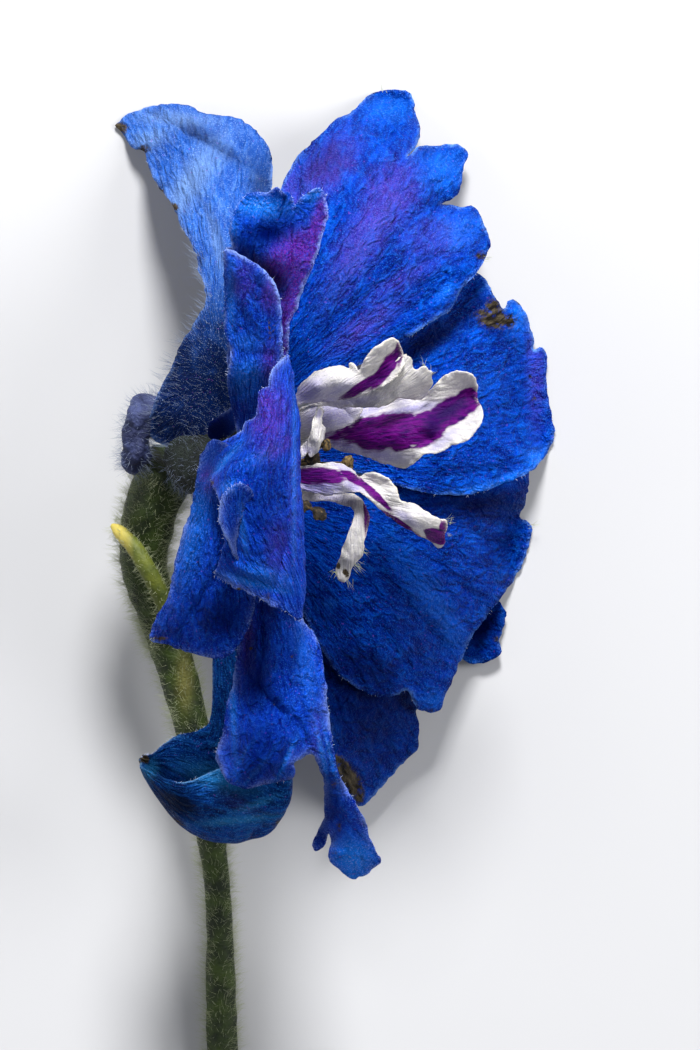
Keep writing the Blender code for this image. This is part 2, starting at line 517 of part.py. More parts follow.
STAMINODE_HEIGHTS = [(-8.1, 5.75, 19.9), (-5.2, 5.8, 22.0), (-3.2, 6.2, 22.8), (-2.7, 8.8, 22.3)]

# Anther centre, its radius, and where its filament starts.
ANTHERS = [
    ((-1.9, 6.4, 21.8), 0.46, (-7.2, 5.2, 19.2)),
    ((-3.0, 5.2, 21.4), 0.62, (-7.0, 4.9, 19.0)),
    ((-0.2, 4.9, 21.2), 0.50, (-6.9, 4.9, 18.9)),
    ((-3.6, 1.5, 20.8), 0.44, (-7.2, 4.4, 19.0)),
    ((-2.4, 0.8, 21.1), 0.62, (-7.0, 4.2, 18.9)),
]

STALK = [
    (-10.2, STALK_END_Y, 1.08), (-10.4, -38, 2.0), (-10.6, -30, 3.4), (-11.6, -22, 4.8),
    (-13.0, -15, 6.1), (-14.8, -8.6, 7.3), (-16.5, -3.2, 8.4), (-16.0, 1.0, 9.4),
    (-15.0, 3.6, 10.3), (-14.4, 4.9, 11.3),
]
STALK_WIDTHS = [1.2, 1.2, 1.02, 1.28, 1.42, 1.68, 1.85, 2.15, 2.2, 2.2]
RECEPTACLE = [(-13.7, 5.4, 13.3), (-11.0, 5.2, 16.0), (-8.7, 5.1, 18.3)]
RECEPTACLE_WIDTHS = [1.7, 2.5, 2.9, 3.0, 3.0, 2.9, 2.7, 2.2]
BRACT_PATH = [
    (-19.1, 0.0, 10.6), (-18.3, -0.7, 11.0), (-17.2, -1.9, 11.75), (-16.2, -3.6, 11.95),
    (-15.2, -5.6, 11.2), (-14.6, -7.4, 10.5),
]
SPUR_PATH = [
    (-14.9, 9.2, 13.4), (-16.2, 8.9, 13.8), (-17.0, 7.4, 14.0), (-17.2, 5.6, 13.9),
    (-17.6, 4.2, 13.4),
]


def far_sepals(blue):
    blade("sepal_upper", sheet(UPPER_SEPAL, UPPER_HEIGHTS, wave=0.9, seed=2.1), blue)
    blade("sepal_right", sheet(RIGHT_SEPAL, RIGHT_HEIGHTS, wave=0.5, seed=3.7), blue)
    blade(
        "sepal_lower_right",
        sheet(LOWER_RIGHT_SEPAL, LOWER_RIGHT_HEIGHTS, wave=0.5, seed=5.2),
        blue,
    )
    blade("sepal_lower", sheet(LOWER_SEPAL, LOWER_HEIGHTS, wave=0.4, seed=6.4), blue)
    blade("sepal_back", sheet(BACK_SEPAL, BACK_HEIGHTS), blue)


def near_sepals(blue, pale):
    blade("sepal_spurred", sheet(SPURRED_SEPAL, SPURRED_HEIGHTS, wave=0.6, seed=1.3), pale)
    blade(
        "sepal_front_upper",
        sheet(FRONT_UPPER_SEPAL, FRONT_UPPER_HEIGHTS, step=1.2, wave=0.4, seed=8.8),
        blue,
    )
    fold = blade("front_fold", patch(FRONT_FOLD, 20, 16), blue)
    left = blade("front_left", sheet(FRONT_LEFT, FRONT_LEFT_HEIGHTS), blue)
    join("sepal_front", [fold, left])
    blade(
        "sepal_front_lower",
        sheet(FRONT_LOWER_SEPAL, FRONT_LOWER_HEIGHTS, step=1.2, wave=0.4, seed=4.4),
        blue,
    )
    blade("sepal_scoop", patch(SCOOP, 22, 13), blue)


def inner_petals(white):
    parts = (
        ("petal_top", PETAL_TOP, PETAL_TOP_HEIGHTS),
        ("petal_top_back", PETAL_TOP_BACK, PETAL_TOP_BACK_HEIGHTS),
        ("petal_middle", PETAL_MIDDLE, PETAL_MIDDLE_HEIGHTS),
        ("petal_lower", PETAL_LOWER, PETAL_LOWER_HEIGHTS),
        ("petal_hanging", PETAL_HANGING, PETAL_HANGING_HEIGHTS),
        ("staminode", STAMINODE, STAMINODE_HEIGHTS),
    )
    for name, outline, heights in parts:
        surface = sheet(outline, heights, step=0.95)
        blade(name, surface, white, PETAL_BLADE)


def stamens(brown):
    """The anthers on their filaments, one body with a shared foot."""
    pieces = []
    for index, (tip, radius, foot) in enumerate(ANTHERS):
        tip, foot = np.array(tip), np.array(foot)
        middle = (tip + foot) / 2 + np.array([0.0, 0.0, 0.35])
        path = smooth_path([foot, middle, tip], 7)
        pieces.append(body(f"filament_{index}", tube(path, [0.33] * 7, 6), brown))
        ball = [tip + np.array([s * radius * 0.95, 0.0, 0.0]) for s in (-1, -0.6, 0, 0.6, 1)]
        swell = [radius * f for f in (0.35, 0.85, 1.0, 0.85, 0.35)]
        pieces.append(body(f"anther_{index}", tube(ball, swell, 8), brown))
    foot = [(-8.0, 5.0, 18.5), (-7.6, 4.9, 18.7), (-6.9, 4.8, 19.1), (-6.5, 4.7, 19.3)]
    pieces.insert(0, body("foot", tube(foot, [0.5, 0.8, 0.75, 0.4], 10), brown))
    join("stamens", pieces)


def stalk_parts(green, bract_green, grey):
    count = 40
    path = smooth_path(STALK, count)
    width = spline([[w] for w in STALK_WIDTHS], np.linspace(0, len(STALK_WIDTHS) - 1, count))
    body("stalk", tube(path, width[:, 0], 14, lumps=0.06), green)
    bract = smooth_path(BRACT_PATH, 12)
    taper = [0.18, 0.42, 0.55, 0.6, 0.65, 0.68, 0.7, 0.72, 0.72, 0.7, 0.6, 0.4]
    body("bracteole", tube(bract, taper, 8), bract_green)
    spur = smooth_path(SPUR_PATH, 14)
    swell = [0.8, 1.3, 1.5, 1.55, 1.5, 1.4, 1.25, 1.15, 1.1, 1.15, 1.15, 1.0, 0.8, 0.4]
    body("spur", tube(spur, swell, 12, lumps=0.35, seed=3.0), grey)
    head = smooth_path(RECEPTACLE, 8)
    body("receptacle", tube(head, RECEPTACLE_WIDTHS, 16), green)


def main():
    clear_scene()
    blue = plain_material("sepal_blue", SEPAL_BLUE, 0.55)
    pale = plain_material("sepal_pale", SEPAL_PALE, 0.6)
    grey = plain_material("base_grey", BASE_GREY, 0.75)
    white = plain_material("petal_white", PETAL_WHITE, 0.6)
    green = plain_material("stalk_green", STALK_GREEN, 0.7)
    bract_green = plain_material("bract_green", BRACT_GREEN, 0.6)
    brown = plain_material("anther_brown", ANTHER_BROWN, 0.7)
    far_sepals(blue)
    near_sepals(blue, pale)
    inner_petals(white)
    stamens(brown)
    stalk_parts(green, bract_green, grey)


main()
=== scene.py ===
import math

import bpy
import numpy as np
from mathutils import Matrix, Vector, noise
from mathutils.geometry import delaunay_2d_cdt


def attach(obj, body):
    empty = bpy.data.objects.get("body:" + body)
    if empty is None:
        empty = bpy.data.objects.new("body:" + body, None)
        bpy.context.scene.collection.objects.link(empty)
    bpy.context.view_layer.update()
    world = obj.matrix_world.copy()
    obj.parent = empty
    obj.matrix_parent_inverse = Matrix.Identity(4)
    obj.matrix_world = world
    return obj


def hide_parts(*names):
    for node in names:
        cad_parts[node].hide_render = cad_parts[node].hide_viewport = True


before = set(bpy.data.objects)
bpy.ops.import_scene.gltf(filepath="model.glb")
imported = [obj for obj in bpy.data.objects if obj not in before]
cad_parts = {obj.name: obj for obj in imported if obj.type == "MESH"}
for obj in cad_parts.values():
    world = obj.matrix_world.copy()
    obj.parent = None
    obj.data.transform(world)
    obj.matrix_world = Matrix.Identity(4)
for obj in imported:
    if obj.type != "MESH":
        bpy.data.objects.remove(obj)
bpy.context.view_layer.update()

MM = 0.001
FINE = 0.27  # spacing of most sepals' points, in mm
PETAL_FINE = 0.15
HAIR_SHARE = 1.0

# Points are in millimetres from the photo's middle. The model's origin lies at MIDDLE among them.
MIDDLE = np.array([-1.36, -5.43, 0.0])
STALK_END_Y = -46.0

ROW_STEP = 0.866  # height of a triangle with sides of 1
FLOW_WIDTH = 12.0  # mm across the flow for each radian about the root
LOWEST = 0.2  # fine_sheet keeps its surface at this height or over it, in mm
PER_MM = (1000.0, 1000.0, 1000.0)  # turns metres into millimetres for the textures


def spline(points, params, closed=False):
    """Smooth curve through the points, at params counted in points."""
    points = np.array(points, float)
    count = len(points)
    params = np.asarray(params, float)
    base = np.floor(params).astype(int)
    if not closed:
        base = np.clip(base, 0, count - 2)
    u = (params - base)[:, None]

    def at(index):
        if closed:
            return points[index % count]
        inside = points[np.clip(index, 0, count - 1)]
        before = 2 * points[0] - points[1]
        after = 2 * points[-1] - points[-2]
        inside = np.where((index < 0)[:, None], before, inside)
        return np.where((index > count - 1)[:, None], after, inside)

    a, b, c, d = at(base - 1), at(base), at(base + 1), at(base + 2)
    return 0.5 * (
        2 * b
        + (c - a) * u
        + (2 * a - 5 * b + 4 * c - d) * u**2
        + (3 * b - a - 3 * c + d) * u**3
    )


def fine_outline(corners, step):
    """The closed outline, with long sides divided along a smooth curve."""
    corners = np.array(corners, float)
    params = []
    for i in range(len(corners)):
        length = np.linalg.norm(corners[(i + 1) % len(corners)] - corners[i])
        parts = max(1, round(length / step))
        params += [i + k / parts for k in range(parts)]
    return spline(corners, params, closed=True)


def inside_outline(xy, outline):
    """Which of the points lie inside the closed outline."""
    found = np.zeros(len(xy), bool)
    following = np.roll(outline, -1, axis=0)
    for (x0, y0), (x1, y1) in zip(outline, following):
        if y0 == y1:
            continue
        crosses = (y0 > xy[:, 1]) != (y1 > xy[:, 1])
        at_x = x0 + (xy[:, 1] - y0) * (x1 - x0) / (y1 - y0)
        found ^= crosses & (xy[:, 0] < at_x)
    return found


def thin_plate(known, stiffness=0.02):
    """A smooth height over the plane through the known (x, y, height)."""
    known = np.array(known, float)
    count = len(known)
    gaps = np.linalg.norm(known[:, None, :2] - known[None, :, :2], axis=2)
    kernel = gaps**2 * np.log(gaps + 1e-9) + stiffness * np.eye(count)
    flat = np.column_stack([np.ones(count), known[:, :2]])
    whole = np.block([[kernel, flat], [flat.T, np.zeros((3, 3))]])
    weights = np.linalg.solve(whole, np.concatenate([known[:, 2], np.zeros(3)]))

    def height(x, y):
        x, y = np.asarray(x, float), np.asarray(y, float)
        gap = np.hypot(x[..., None] - known[:, 0], y[..., None] - known[:, 1])
        bends = (gap**2 * np.log(gap + 1e-9)) @ weights[:count]
        return bends + weights[count] + weights[count + 1] * x + weights[count + 2] * y

    return height


def patch(rows, along, across):
    """A smooth surface through rows of points, split into triangles."""
    rows = [np.array(r, float) for r in rows]
    widest = max(len(r) for r in rows)
    even = np.array([spline(r, np.linspace(0, len(r) - 1, widest)) for r in rows])
    down = [spline(even[:, k], np.linspace(0, len(rows) - 1, along)) for k in range(widest)]
    down = np.array(down)
    net = np.array(
        [spline(down[:, i], np.linspace(0, widest - 1, across)) for i in range(along)]
    )
    faces = []
    for i in range(along - 1):
        for j in range(across - 1):
            a, b = i * across + j, i * across + j + 1
            c, d = a + across, b + across
            if (i + j) % 2:
                faces += [(a, c, d), (a, d, b)]
            else:
                faces += [(a, c, b), (b, c, d)]
    return net.reshape(-1, 3), np.array(faces)


def tube(path, radii, sides, lumps=0.0, seed=0.0):
    """A closed round body along a path, its ends domed by their small radii."""
    path = np.array(path, float)
    radii = np.array(radii, float)
    ahead = np.gradient(path, axis=0)
    ahead /= np.linalg.norm(ahead, axis=1)[:, None]
    points = []
    for centre, direction, radius in zip(path, ahead, radii):
        first = np.cross(direction, (0.0, 0.0, 1.0))
        if np.linalg.norm(first) < 0.2:
            first = np.cross(direction, (0.0, 1.0, 0.0))
        first /= np.linalg.norm(first)
        second = np.cross(first, direction)
        for k in range(sides):
            turn = 2 * math.pi * k / sides
            out = first * math.cos(turn) + second * math.sin(turn)
            spot = centre + out * radius
            swell = noise.noise(Vector(spot * 0.7) + Vector((seed, 0, 0)))
            points.append(centre + out * radius * (1 + lumps * swell))
    rings = len(path)
    points += [path[0] - ahead[0] * radii[0] * 0.05, path[-1] + ahead[-1] * radii[-1] * 0.05]
    faces = []
    for i in range(rings - 1):
        for k in range(sides):
            a, b = i * sides + k, i * sides + (k + 1) % sides
            faces += [(a, a + sides, b), (b, a + sides, b + sides)]
    start, end = rings * sides, rings * sides + 1
    for k in range(sides):
        follow = (k + 1) % sides
        faces.append((start, k, follow))
        faces.append((end, (rings - 1) * sides + follow, (rings - 1) * sides + k))
    return np.array(points), np.array(faces)


def facing_out(points, faces):
    """The faces turned so that the closed body faces outwards."""
    corner = points[faces]
    volume = np.einsum("ij,ij->i", corner[:, 0], np.cross(corner[:, 1], corner[:, 2])).sum()
    return faces if volume > 0 else faces[:, ::-1]


def smooth_path(points, count):
    """The curve through the points, at evenly spread places."""
    return spline(points, np.linspace(0, len(points) - 1, count))


# Sepals on the far side: outlines as (x, y) and heights as (x, y, height).

UPPER_SEPAL = [
    (-5.5, 27), (-4.7, 28.8), (-4, 29.8), (-3, 30.7), (-2, 31.7), (-1, 32.7), (0, 33.1),
    (0.9, 34), (1.5, 34.6), (2.5, 35), (3.8, 35.1), (4.7, 34.9), (5.1, 34.2), (5.3, 33),
    (5.6, 32.2), (5.6, 31.2), (5.3, 30.5), (4.6, 29.6), (5.6, 30.4), (7, 30.5), (8.6, 30.6),
    (9.5, 29.8), (9.2, 29), (9, 28), (8.8, 27), (8.2, 26.2), (7.3, 25.8), (8, 25.7),
    (8.8, 25.5), (9.7, 25.7), (10.4, 25), (10.9, 23.8), (11.3, 22.6), (10.8, 21.4),
    (10.4, 20.5), (9.5, 19.5), (8.9, 18.8), (8.2, 17.5), (7, 16.6), (4, 14.6), (0, 12.4),
    (-4, 9.8), (-7.5, 8.5), (-9.3, 8.4), (-9.8, 9.4), (-7.8, 10.9), (-6.4, 13), (-6.1, 17),
    (-6.1, 21), (-5.9, 24.5),
]
UPPER_HEIGHTS = [
    (-9.6, 8.9, 16.2), (-7.0, 9.8, 16.5), (-4, 12, 16.2), (0, 13, 14.6), (4, 15.6, 12.2),
    (-5.8, 19, 16), (-1, 19, 15.2), (8, 17.8, 9.0), (10.8, 21.5, 6.4), (4, 21, 11.8),
    (-5.4, 27, 9.5), (-1, 27, 11.2), (4, 27, 8.4), (8.5, 25.5, 5.0), (8.6, 29.8, 2.2),
    (5.4, 31.5, 3.0), (1.5, 34.4, 0.8), (3.8, 35, -1.1), (-2, 31.6, 5.6),
]

LOWER_RIGHT_SEPAL = [
    (14.0, 5.6), (14.4, 3.8), (14.1, 2), (13.6, 0.7), (14.2, 0.4), (14.7, -0.4),
    (14.4, -1.5), (14, -3), (13.3, -4.2), (12, -6), (11, -7.3), (10, -8.6), (9, -10.6),
    (8.4, -12), (7.6, -13.8), (7.2, -14.8), (6.2, -15), (5.3, -14.6), (4.6, -13.3),
    (3, -13.8), (1, -13.3), (-1, -11.8), (-2.6, -9.4), (-4.2, -6), (-6, -2.4), (-8.4, 0.8),
    (-10.5, 2.9), (-10.0, 4.1), (-7.5, 3.6), (-4, 3.2), (0, 3.4), (4, 4.2), (8, 5.2),
    (11, 6.2), (13, 6.6),
]
LOWER_RIGHT_HEIGHTS = [
    (-10.2, 3.4, 12.6), (-7, 1.8, 12.6), (-4, -2, 12.6), (-3.6, 2.6, 12.2), (0, 3, 10.8),
    (0, -4, 12), (5, 4, 8.4), (4, -3, 10.4), (0, -11, 11), (4, -9, 9.4), (10, 5.8, 4.4),
    (9, -1, 6.6), (13.6, 6, 1.6), (13.8, 2, 1.4), (14.6, -0.6, -2.2), (12.8, -4.6, 0.8),
    (8, -7, 6.0), (9.6, -9.4, 3.4), (7, -14.4, 4.2), (4, -13.2, 7.4),
]

LOWER_HEIGHTS = [
    (-11.6, 2.8, 11.8), (-8, -0.8, 10.9), (-4, -6, 10.4), (-2, -5, 10.2), (0, -10, 8.9),
    (-1.6, -14, 9.2), (4.4, -10, 6.3), (2.5, -15, 5.9), (5.6, -15, 2.7), (-0.8, -19, 7.0),
    (5.3, -18, 1.5), (1, -22.4, 1.8), (2.4, -18.5, 4.0),
]

BACK_SEPAL = [
    (9.6, -5.2), (11.2, -5.9), (11.9, -6.1), (12.4, -6.6), (12.6, -7.3), (12.3, -8.5),
    (12, -9.3), (12.2, -10.2), (11.5, -10.8), (10.2, -11.2), (9.3, -11), (7.9, -9.6),
    (5.5, -7.2), (2, -4.8), (-2, -2.4), (-6.5, 0.4), (-10.6, 3.7), (-10.6, 4.7),
    (-6, 2.4), (-2, 0.2), (2, -1.6), (6, -3.4),
]
BACK_HEIGHTS = [
    (-10.6, 4.2, 11.9), (-6, 1.4, 10.4), (-2, -1.2, 9.6), (2, -3.2, 7.4), (6, -5.2, 4.5),
    (9.6, -5.4, 2.0), (8.2, -9, 2.2), (12.2, -7, 0.6), (11.6, -10, 0.9), (9.6, -10.8, 0.9),
    (10.6, -8, 0.5),
]

# Sepals on the near side, turned back so that their inner face is up.

FRONT_UPPER_SEPAL = [
    (-9.9, 21.7), (-9.3, 22.1), (-9.5, 23.0), (-9.5, 23.9), (-9.2, 25), (-8.3, 26.1), (-7.8, 26.4),
    (-6.5, 26.4), (-6, 26.8), (-5.3, 26.5), (-4.7, 26.2), (-4.4, 25.3), (-3.9, 26),
    (-3, 26.6), (-2.2, 26.6), (-1.8, 25.5), (-1.9, 24), (-2.3, 22.5), (-3, 20.5),
    (-3.8, 18.5), (-4.3, 17), (-4.8, 16), (-5, 13.2), (-5.8, 11.4), (-7.2, 9.2),
    (-9.2, 7.4), (-11.0, 6.8), (-11.3, 8.0), (-10.0, 9.0), (-9.3, 9.8), (-9.7, 11.5), (-9.8, 14),
    (-9.9, 18),
]
FRONT_UPPER_HEIGHTS = [
    (-11.1, 7.4, 20.1), (-9, 8.8, 22.8), (-7, 10.6, 25.2), (-9.7, 12, 25.4), (-5.4, 13.4, 27.4),
    (-9.8, 16, 25.8), (-7.2, 16, 26.2), (-4.8, 16.4, 28.4), (-9.9, 21, 25.4),
    (-7, 19, 25.6), (-3.4, 19.6, 30.0), (-8.9, 22.4, 28.6), (-6, 21.2, 29.2),
    (-2.2, 23.2, 31.0), (-6, 24, 28.0), (-9.3, 24.8, 29.6), (-6, 26.6, 30.4),
    (-2.4, 26.4, 31.2), (-4.4, 25.2, 29.4),
]

FRONT_FOLD = [
    [(-11.5, 6.0, 20.3), (-11.5, 5.1, 20.4), (-11.5, 4.2, 20.3)],
    [(-8.2, 7.2, 23.0), (-8.0, 5.0, 23.3), (-8.0, 2.6, 23.0)],
    [(-5.9, 9.6, 25.6), (-5.5, 7, 25.8), (-5.3, 4, 26), (-5.2, 1, 25.8), (-5.2, -2.6, 25.4)],
    [(-5.0, 13.3, 28.0), (-4.4, 9.5, 28.8), (-4.0, 4, 29.4), (-3.8, -1, 29.0), (-3.7, -7.3, 28.2)],
    [(-6.2, 12.2, 30.2), (-5.8, 8, 31.3), (-5.6, 3, 31.9), (-5.5, -1, 31.4), (-5.7, -6.7, 30.2)],
    [(-7.5, 9.8, 31.2), (-7.5, 6.5, 32.6), (-7.5, 2.4, 33.2), (-7.4, -2, 32.8), (-7.6, -5.6, 31.2)],
    [(-9.5, 8.0, 30.6), (-9.5, 5.4, 31.8), (-9.3, 2.6, 33.6), (-9.0, -1.0, 32.4), (-9.3, -4.9, 30.8)],
    [(-11.6, 6.0, 28.8), (-11.2, 4.2, 29.8), (-10.3, 1.6, 32.4), (-9.9, -0.9, 31.6), (-10.8, -4.1, 30.2)],
]

# The notched upper left edge of that fold: where it starts, the directions along it and out of it,
# how far in a notch still shows, and how deep the notches go along it.
NOTCH_START = np.array([-4.9, 13.1])
NOTCH_ALONG = np.array([-0.673, -0.740])
NOTCH_OUT = np.array([-0.740, 0.673])
NOTCH_FADE = 3.0
NOTCH_AT = [0, 1.4, 2.2, 2.6, 3.0, 3.5, 4.4, 5.0, 5.5, 5.9, 6.6, 7.4, 8.6, 9.6, 11]
NOTCH_DEPTHS = [
    0, 0.1, -0.1, -0.35, 0.0, 0.2, -0.5, -1.0, -0.95, -0.75, -1.15, -0.9, -0.5, -0.7, -0.3,
]

FRONT_LEFT = [
    (-10.6, 6.8), (-11.7, 5.8), (-12, 4.8), (-12.2, 3.5), (-12.5, 2), (-12.8, 0.5),
    (-13.2, -0.2), (-13.5, -1.5), (-13.8, -2.6), (-14.2, -4.5), (-14.6, -6), (-15.3, -7.2),
    (-15.8, -8.2), (-15.8, -9.2), (-14.4, -9.5), (-13.5, -9.9), (-12, -10.3),
    (-10.5, -10.6), (-9.4, -10.2), (-8.0, -8.0), (-7.4, -5), (-7.5, -1), (-8.2, 3),
    (-8.8, 5.4),
]
FRONT_LEFT_HEIGHTS = [
    (-11.4, 5.6, 28.9), (-9.2, 5, 31.6), (-12.2, 3.4, 28.6), (-9.6, 3.4, 31.0),
    (-12.6, 1, 28.0), (-10.2, 1.2, 29.2), (-8, 1, 29.8), (-13.6, -2.4, 26.8),
    (-10, -2, 29.4), (-7.8, -3, 28.8), (-14.6, -6, 25.2), (-11, -6, 28.2), (-8, -7, 27.4),
    (-15.6, -8.6, 23.2), (-13, -9, 25.6), (-10, -9.8, 26.2),
]

FRONT_LOWER_SEPAL = [
    (-7.6, -5.0), (-8.3, -6.5), (-8.9, -8), (-9, -10), (-9.3, -12.5), (-9.8, -14.5),
    (-10.1, -16.5), (-10.6, -18.3), (-10.2, -19.6), (-9.5, -20.6), (-8, -20.9), (-7, -20.6),
    (-5.6, -20.4), (-4.5, -20), (-4.5, -19), (-4.0, -18.6), (-3, -18.3), (-2.5, -19.3),
    (-2.1, -20.4), (-2.1, -21.5), (-2.1, -23.3), (-2.9, -25.2), (-2.9, -26), (-2.2, -25.8),
    (-1.7, -24.6), (-1.5, -25.4), (-1.7, -26.7), (-0.8, -27.6), (0.2, -28.3), (1.5, -27.7),
    (2.5, -26.8), (2.1, -26), (1.6, -25), (1.2, -23.5), (0.5, -22.3), (-0.5, -20.7),
    (-1.0, -19.4), (-1.2, -18.3), (-1.5, -16.6), (-1.8, -14.5), (-1.9, -13), (-2.1, -11.5),
    (-2.4, -9.8), (-3, -8.5), (-3.8, -7.5), (-5.0, -4.6), (-6.6, -1), (-8.6, 1.8), (-10.0, 2.9),
    (-10.9, 2.0), (-9.6, -0.6), (-8.2, -3),
]
FRONT_LOWER_HEIGHTS = [
    (-10.4, 2.6, 19.4), (-8, -1, 21.6), (-6, -4, 23.4), (-8.2, -6.5, 23.0),
    (-5.6, -7, 24.6), (-3.6, -7.8, 23.4), (-8.9, -11, 23.2), (-6, -12, 25.6),
    (-2.2, -11, 23.6), (-9.8, -15.4, 23.6), (-6, -15, 25.2), (-3.4, -15, 24.6),
    (-1.7, -15.4, 22.8), (-10.4, -18.6, 23.8), (-7.5, -18.5, 26.0), (-5, -19, 25.0),
    (-9, -20.6, 25.0), (-3, -18.4, 23.2), (-1.3, -19, 21.4), (-2.2, -22, 18.6),
    (-0.2, -22.6, 19.4), (-2.8, -25.8, 15.6), (-1.2, -26.6, 16.4), (0.3, -28, 14.8),
    (2.2, -26.6, 15.6), (1.0, -24.2, 18.0),
]

SCOOP = [
    [(-11.6, 1.9, 15.6), (-11.0, 1.7, 15.8), (-10.4, 1.5, 15.9)],
    [(-11.2, -4.5, 14.8), (-10.0, -4.8, 15.4), (-8.4, -4.6, 16.4)],
    [(-11.0, -10.5, 14.0), (-9.0, -11.6, 14.6), (-6.6, -11.0, 16.6)],
    [(-11.1, -15.2, 13.4), (-9.2, -20.4, 13.8), (-6.4, -22.8, 17.2), (-5.0, -21.6, 19.8),
     (-4.6, -19.6, 21.4)],
    [(-11.9, -16.3, 13.2), (-10.6, -21.6, 13.6), (-8.6, -25.1, 17.0), (-7.2, -22.6, 20.6),
     (-7.4, -19.4, 21.4)],
    [(-13.6, -16.8, 13.4), (-12.8, -20.8, 13.8), (-11.4, -25.0, 17.0), (-10.6, -22.4, 20.4),
     (-10.4, -19.4, 21.0)],
    [(-14.8, -17.4, 14.0), (-14.4, -20.2, 14.4), (-13.6, -23.7, 17.0), (-13.2, -22.2, 19.4),
     (-13.0, -20.5, 20.2)],
    [(-15.8, -18.3, 15.2), (-16.0, -19.4, 15.4), (-15.5, -21.3, 17.0), (-15.3, -20.8, 18.4),
     (-15.2, -20.1, 19.0)],
    [(-16.5, -18.4, 16.4), (-16.8, -18.7, 16.5), (-16.7, -19.2, 17.0), (-16.5, -19.4, 17.5),
     (-16.4, -19.5, 17.8)],
]

# Anther centre, its radius, where its filament starts, and how yellow it is.
ANTHERS = [
    ((-1.9, 6.4, 21.8), 0.46, (-7.2, 5.2, 19.2), 0.35),
    ((-3.0, 5.2, 21.4), 0.62, (-7.0, 4.9, 19.0), -0.4),
    ((-0.2, 4.9, 21.2), 0.50, (-6.9, 4.9, 18.9), 0.6),
    ((-3.6, 1.5, 20.8), 0.44, (-7.2, 4.4, 19.0), -0.3),
    ((-2.4, 0.8, 21.1), 0.62, (-7.0, 4.2, 18.9), -0.4),
]

STALK = [
    (-10.2, STALK_END_Y, 1.08), (-10.4, -38, 2.0), (-10.6, -30, 3.4), (-11.6, -22, 4.8),
    (-13.0, -15, 6.1), (-14.8, -8.6, 7.3), (-16.5, -3.2, 8.4), (-16.0, 1.0, 9.4),
    (-15.0, 3.6, 10.3), (-14.4, 4.9, 11.3),
]
STALK_WIDTHS = [1.2, 1.2, 1.02, 1.28, 1.42, 1.68, 1.85, 2.15, 2.2, 2.2]
RECEPTACLE = [(-13.7, 5.4, 13.3), (-11.0, 5.2, 16.0), (-8.7, 5.1, 18.3)]
RECEPTACLE_WIDTHS = [1.7, 2.5, 2.9, 3.0, 3.0, 2.9, 2.7, 2.2]
BRACT_WIDTHS = [0.18, 0.42, 0.55, 0.6, 0.65, 0.68, 0.7, 0.72, 0.72, 0.7, 0.6, 0.4]
SPUR_WIDTHS = [0.8, 1.3, 1.5, 1.55, 1.5, 1.4, 1.25, 1.15, 1.1, 1.15, 1.15, 1.0, 0.8, 0.4]
BRACT_PATH = [
    (-19.1, 0.0, 10.6), (-18.3, -0.7, 11.0), (-17.2, -1.9, 11.75), (-16.2, -3.6, 11.95),
    (-15.2, -5.6, 11.2), (-14.6, -7.4, 10.5),
]
SPUR_PATH = [
    (-14.9, 9.2, 13.4), (-16.2, 8.9, 13.8), (-17.0, 7.4, 14.0), (-17.2, 5.6, 13.9),
    (-17.6, 4.2, 13.4),
]

# The front sepal's folded ear, and the roll on the upper front sepal.

EAR = [
    (-10.4, 0.5), (-10.2, 2), (-9.7, 2.8), (-8.9, 3.25), (-8.2, 3.2), (-7.75, 2.8), (-7.7, 2.1),
    (-8.2, 1), (-8.8, -0.2), (-9, -1.8), (-8.75, -2.95), (-9.3, -2.2), (-9.9, -1),
]
EAR_HEIGHTS = [
    (-10.4, 0.5, 33.6), (-10.0, 2.2, 34.0), (-8.9, 3.2, 34.1), (-7.8, 2.6, 33.5), (-8.3, 1, 33.0),
    (-8.9, -1, 32.6), (-8.8, -2.9, 31.9), (-9.9, -1, 33.2), (-9.2, 1.6, 33.5),
]
FRONT_ROLL = [
    (-9.95, 21.8), (-9.3, 21.75), (-8.6, 21.4), (-7.7, 20.9), (-6.9, 20.3), (-6.2, 19.5), (-5.75, 18.6),
    (-5.5, 17.5), (-5.45, 16.2), (-5.4, 14.8), (-5.35, 13.2), (-5.9, 11.4), (-7.2, 9.2), (-8.0, 7.6),
    (-8.8, 6.8), (-9.1, 7.8), (-9.3, 8.8), (-9.55, 10.0), (-9.75, 11.5), (-9.5, 13.6), (-9.95, 15.5),
    (-9.95, 18), (-10.0, 20),
]
FRONT_ROLL_HEIGHTS = [
    (-8.7, 7.2, 21.4), (-9, 8.8, 22.9), (-7, 10.6, 25.3), (-9.7, 12, 25.5), (-5.6, 13.4, 27.6),
    (-9.9, 21.7, 28.8), (-8.6, 21.3, 29.0), (-6.9, 20.2, 29.2), (-5.8, 18.6, 29.2), (-5.6, 16.6, 28.6),
    (-7.4, 14.4, 27.0), (-7.6, 17.4, 27.9), (-9.9, 18.6, 26.8), (-9.9, 15.4, 25.9), (-8.8, 20, 28.6),
]
# The right, the lower and the spurred sepal, on the far side.

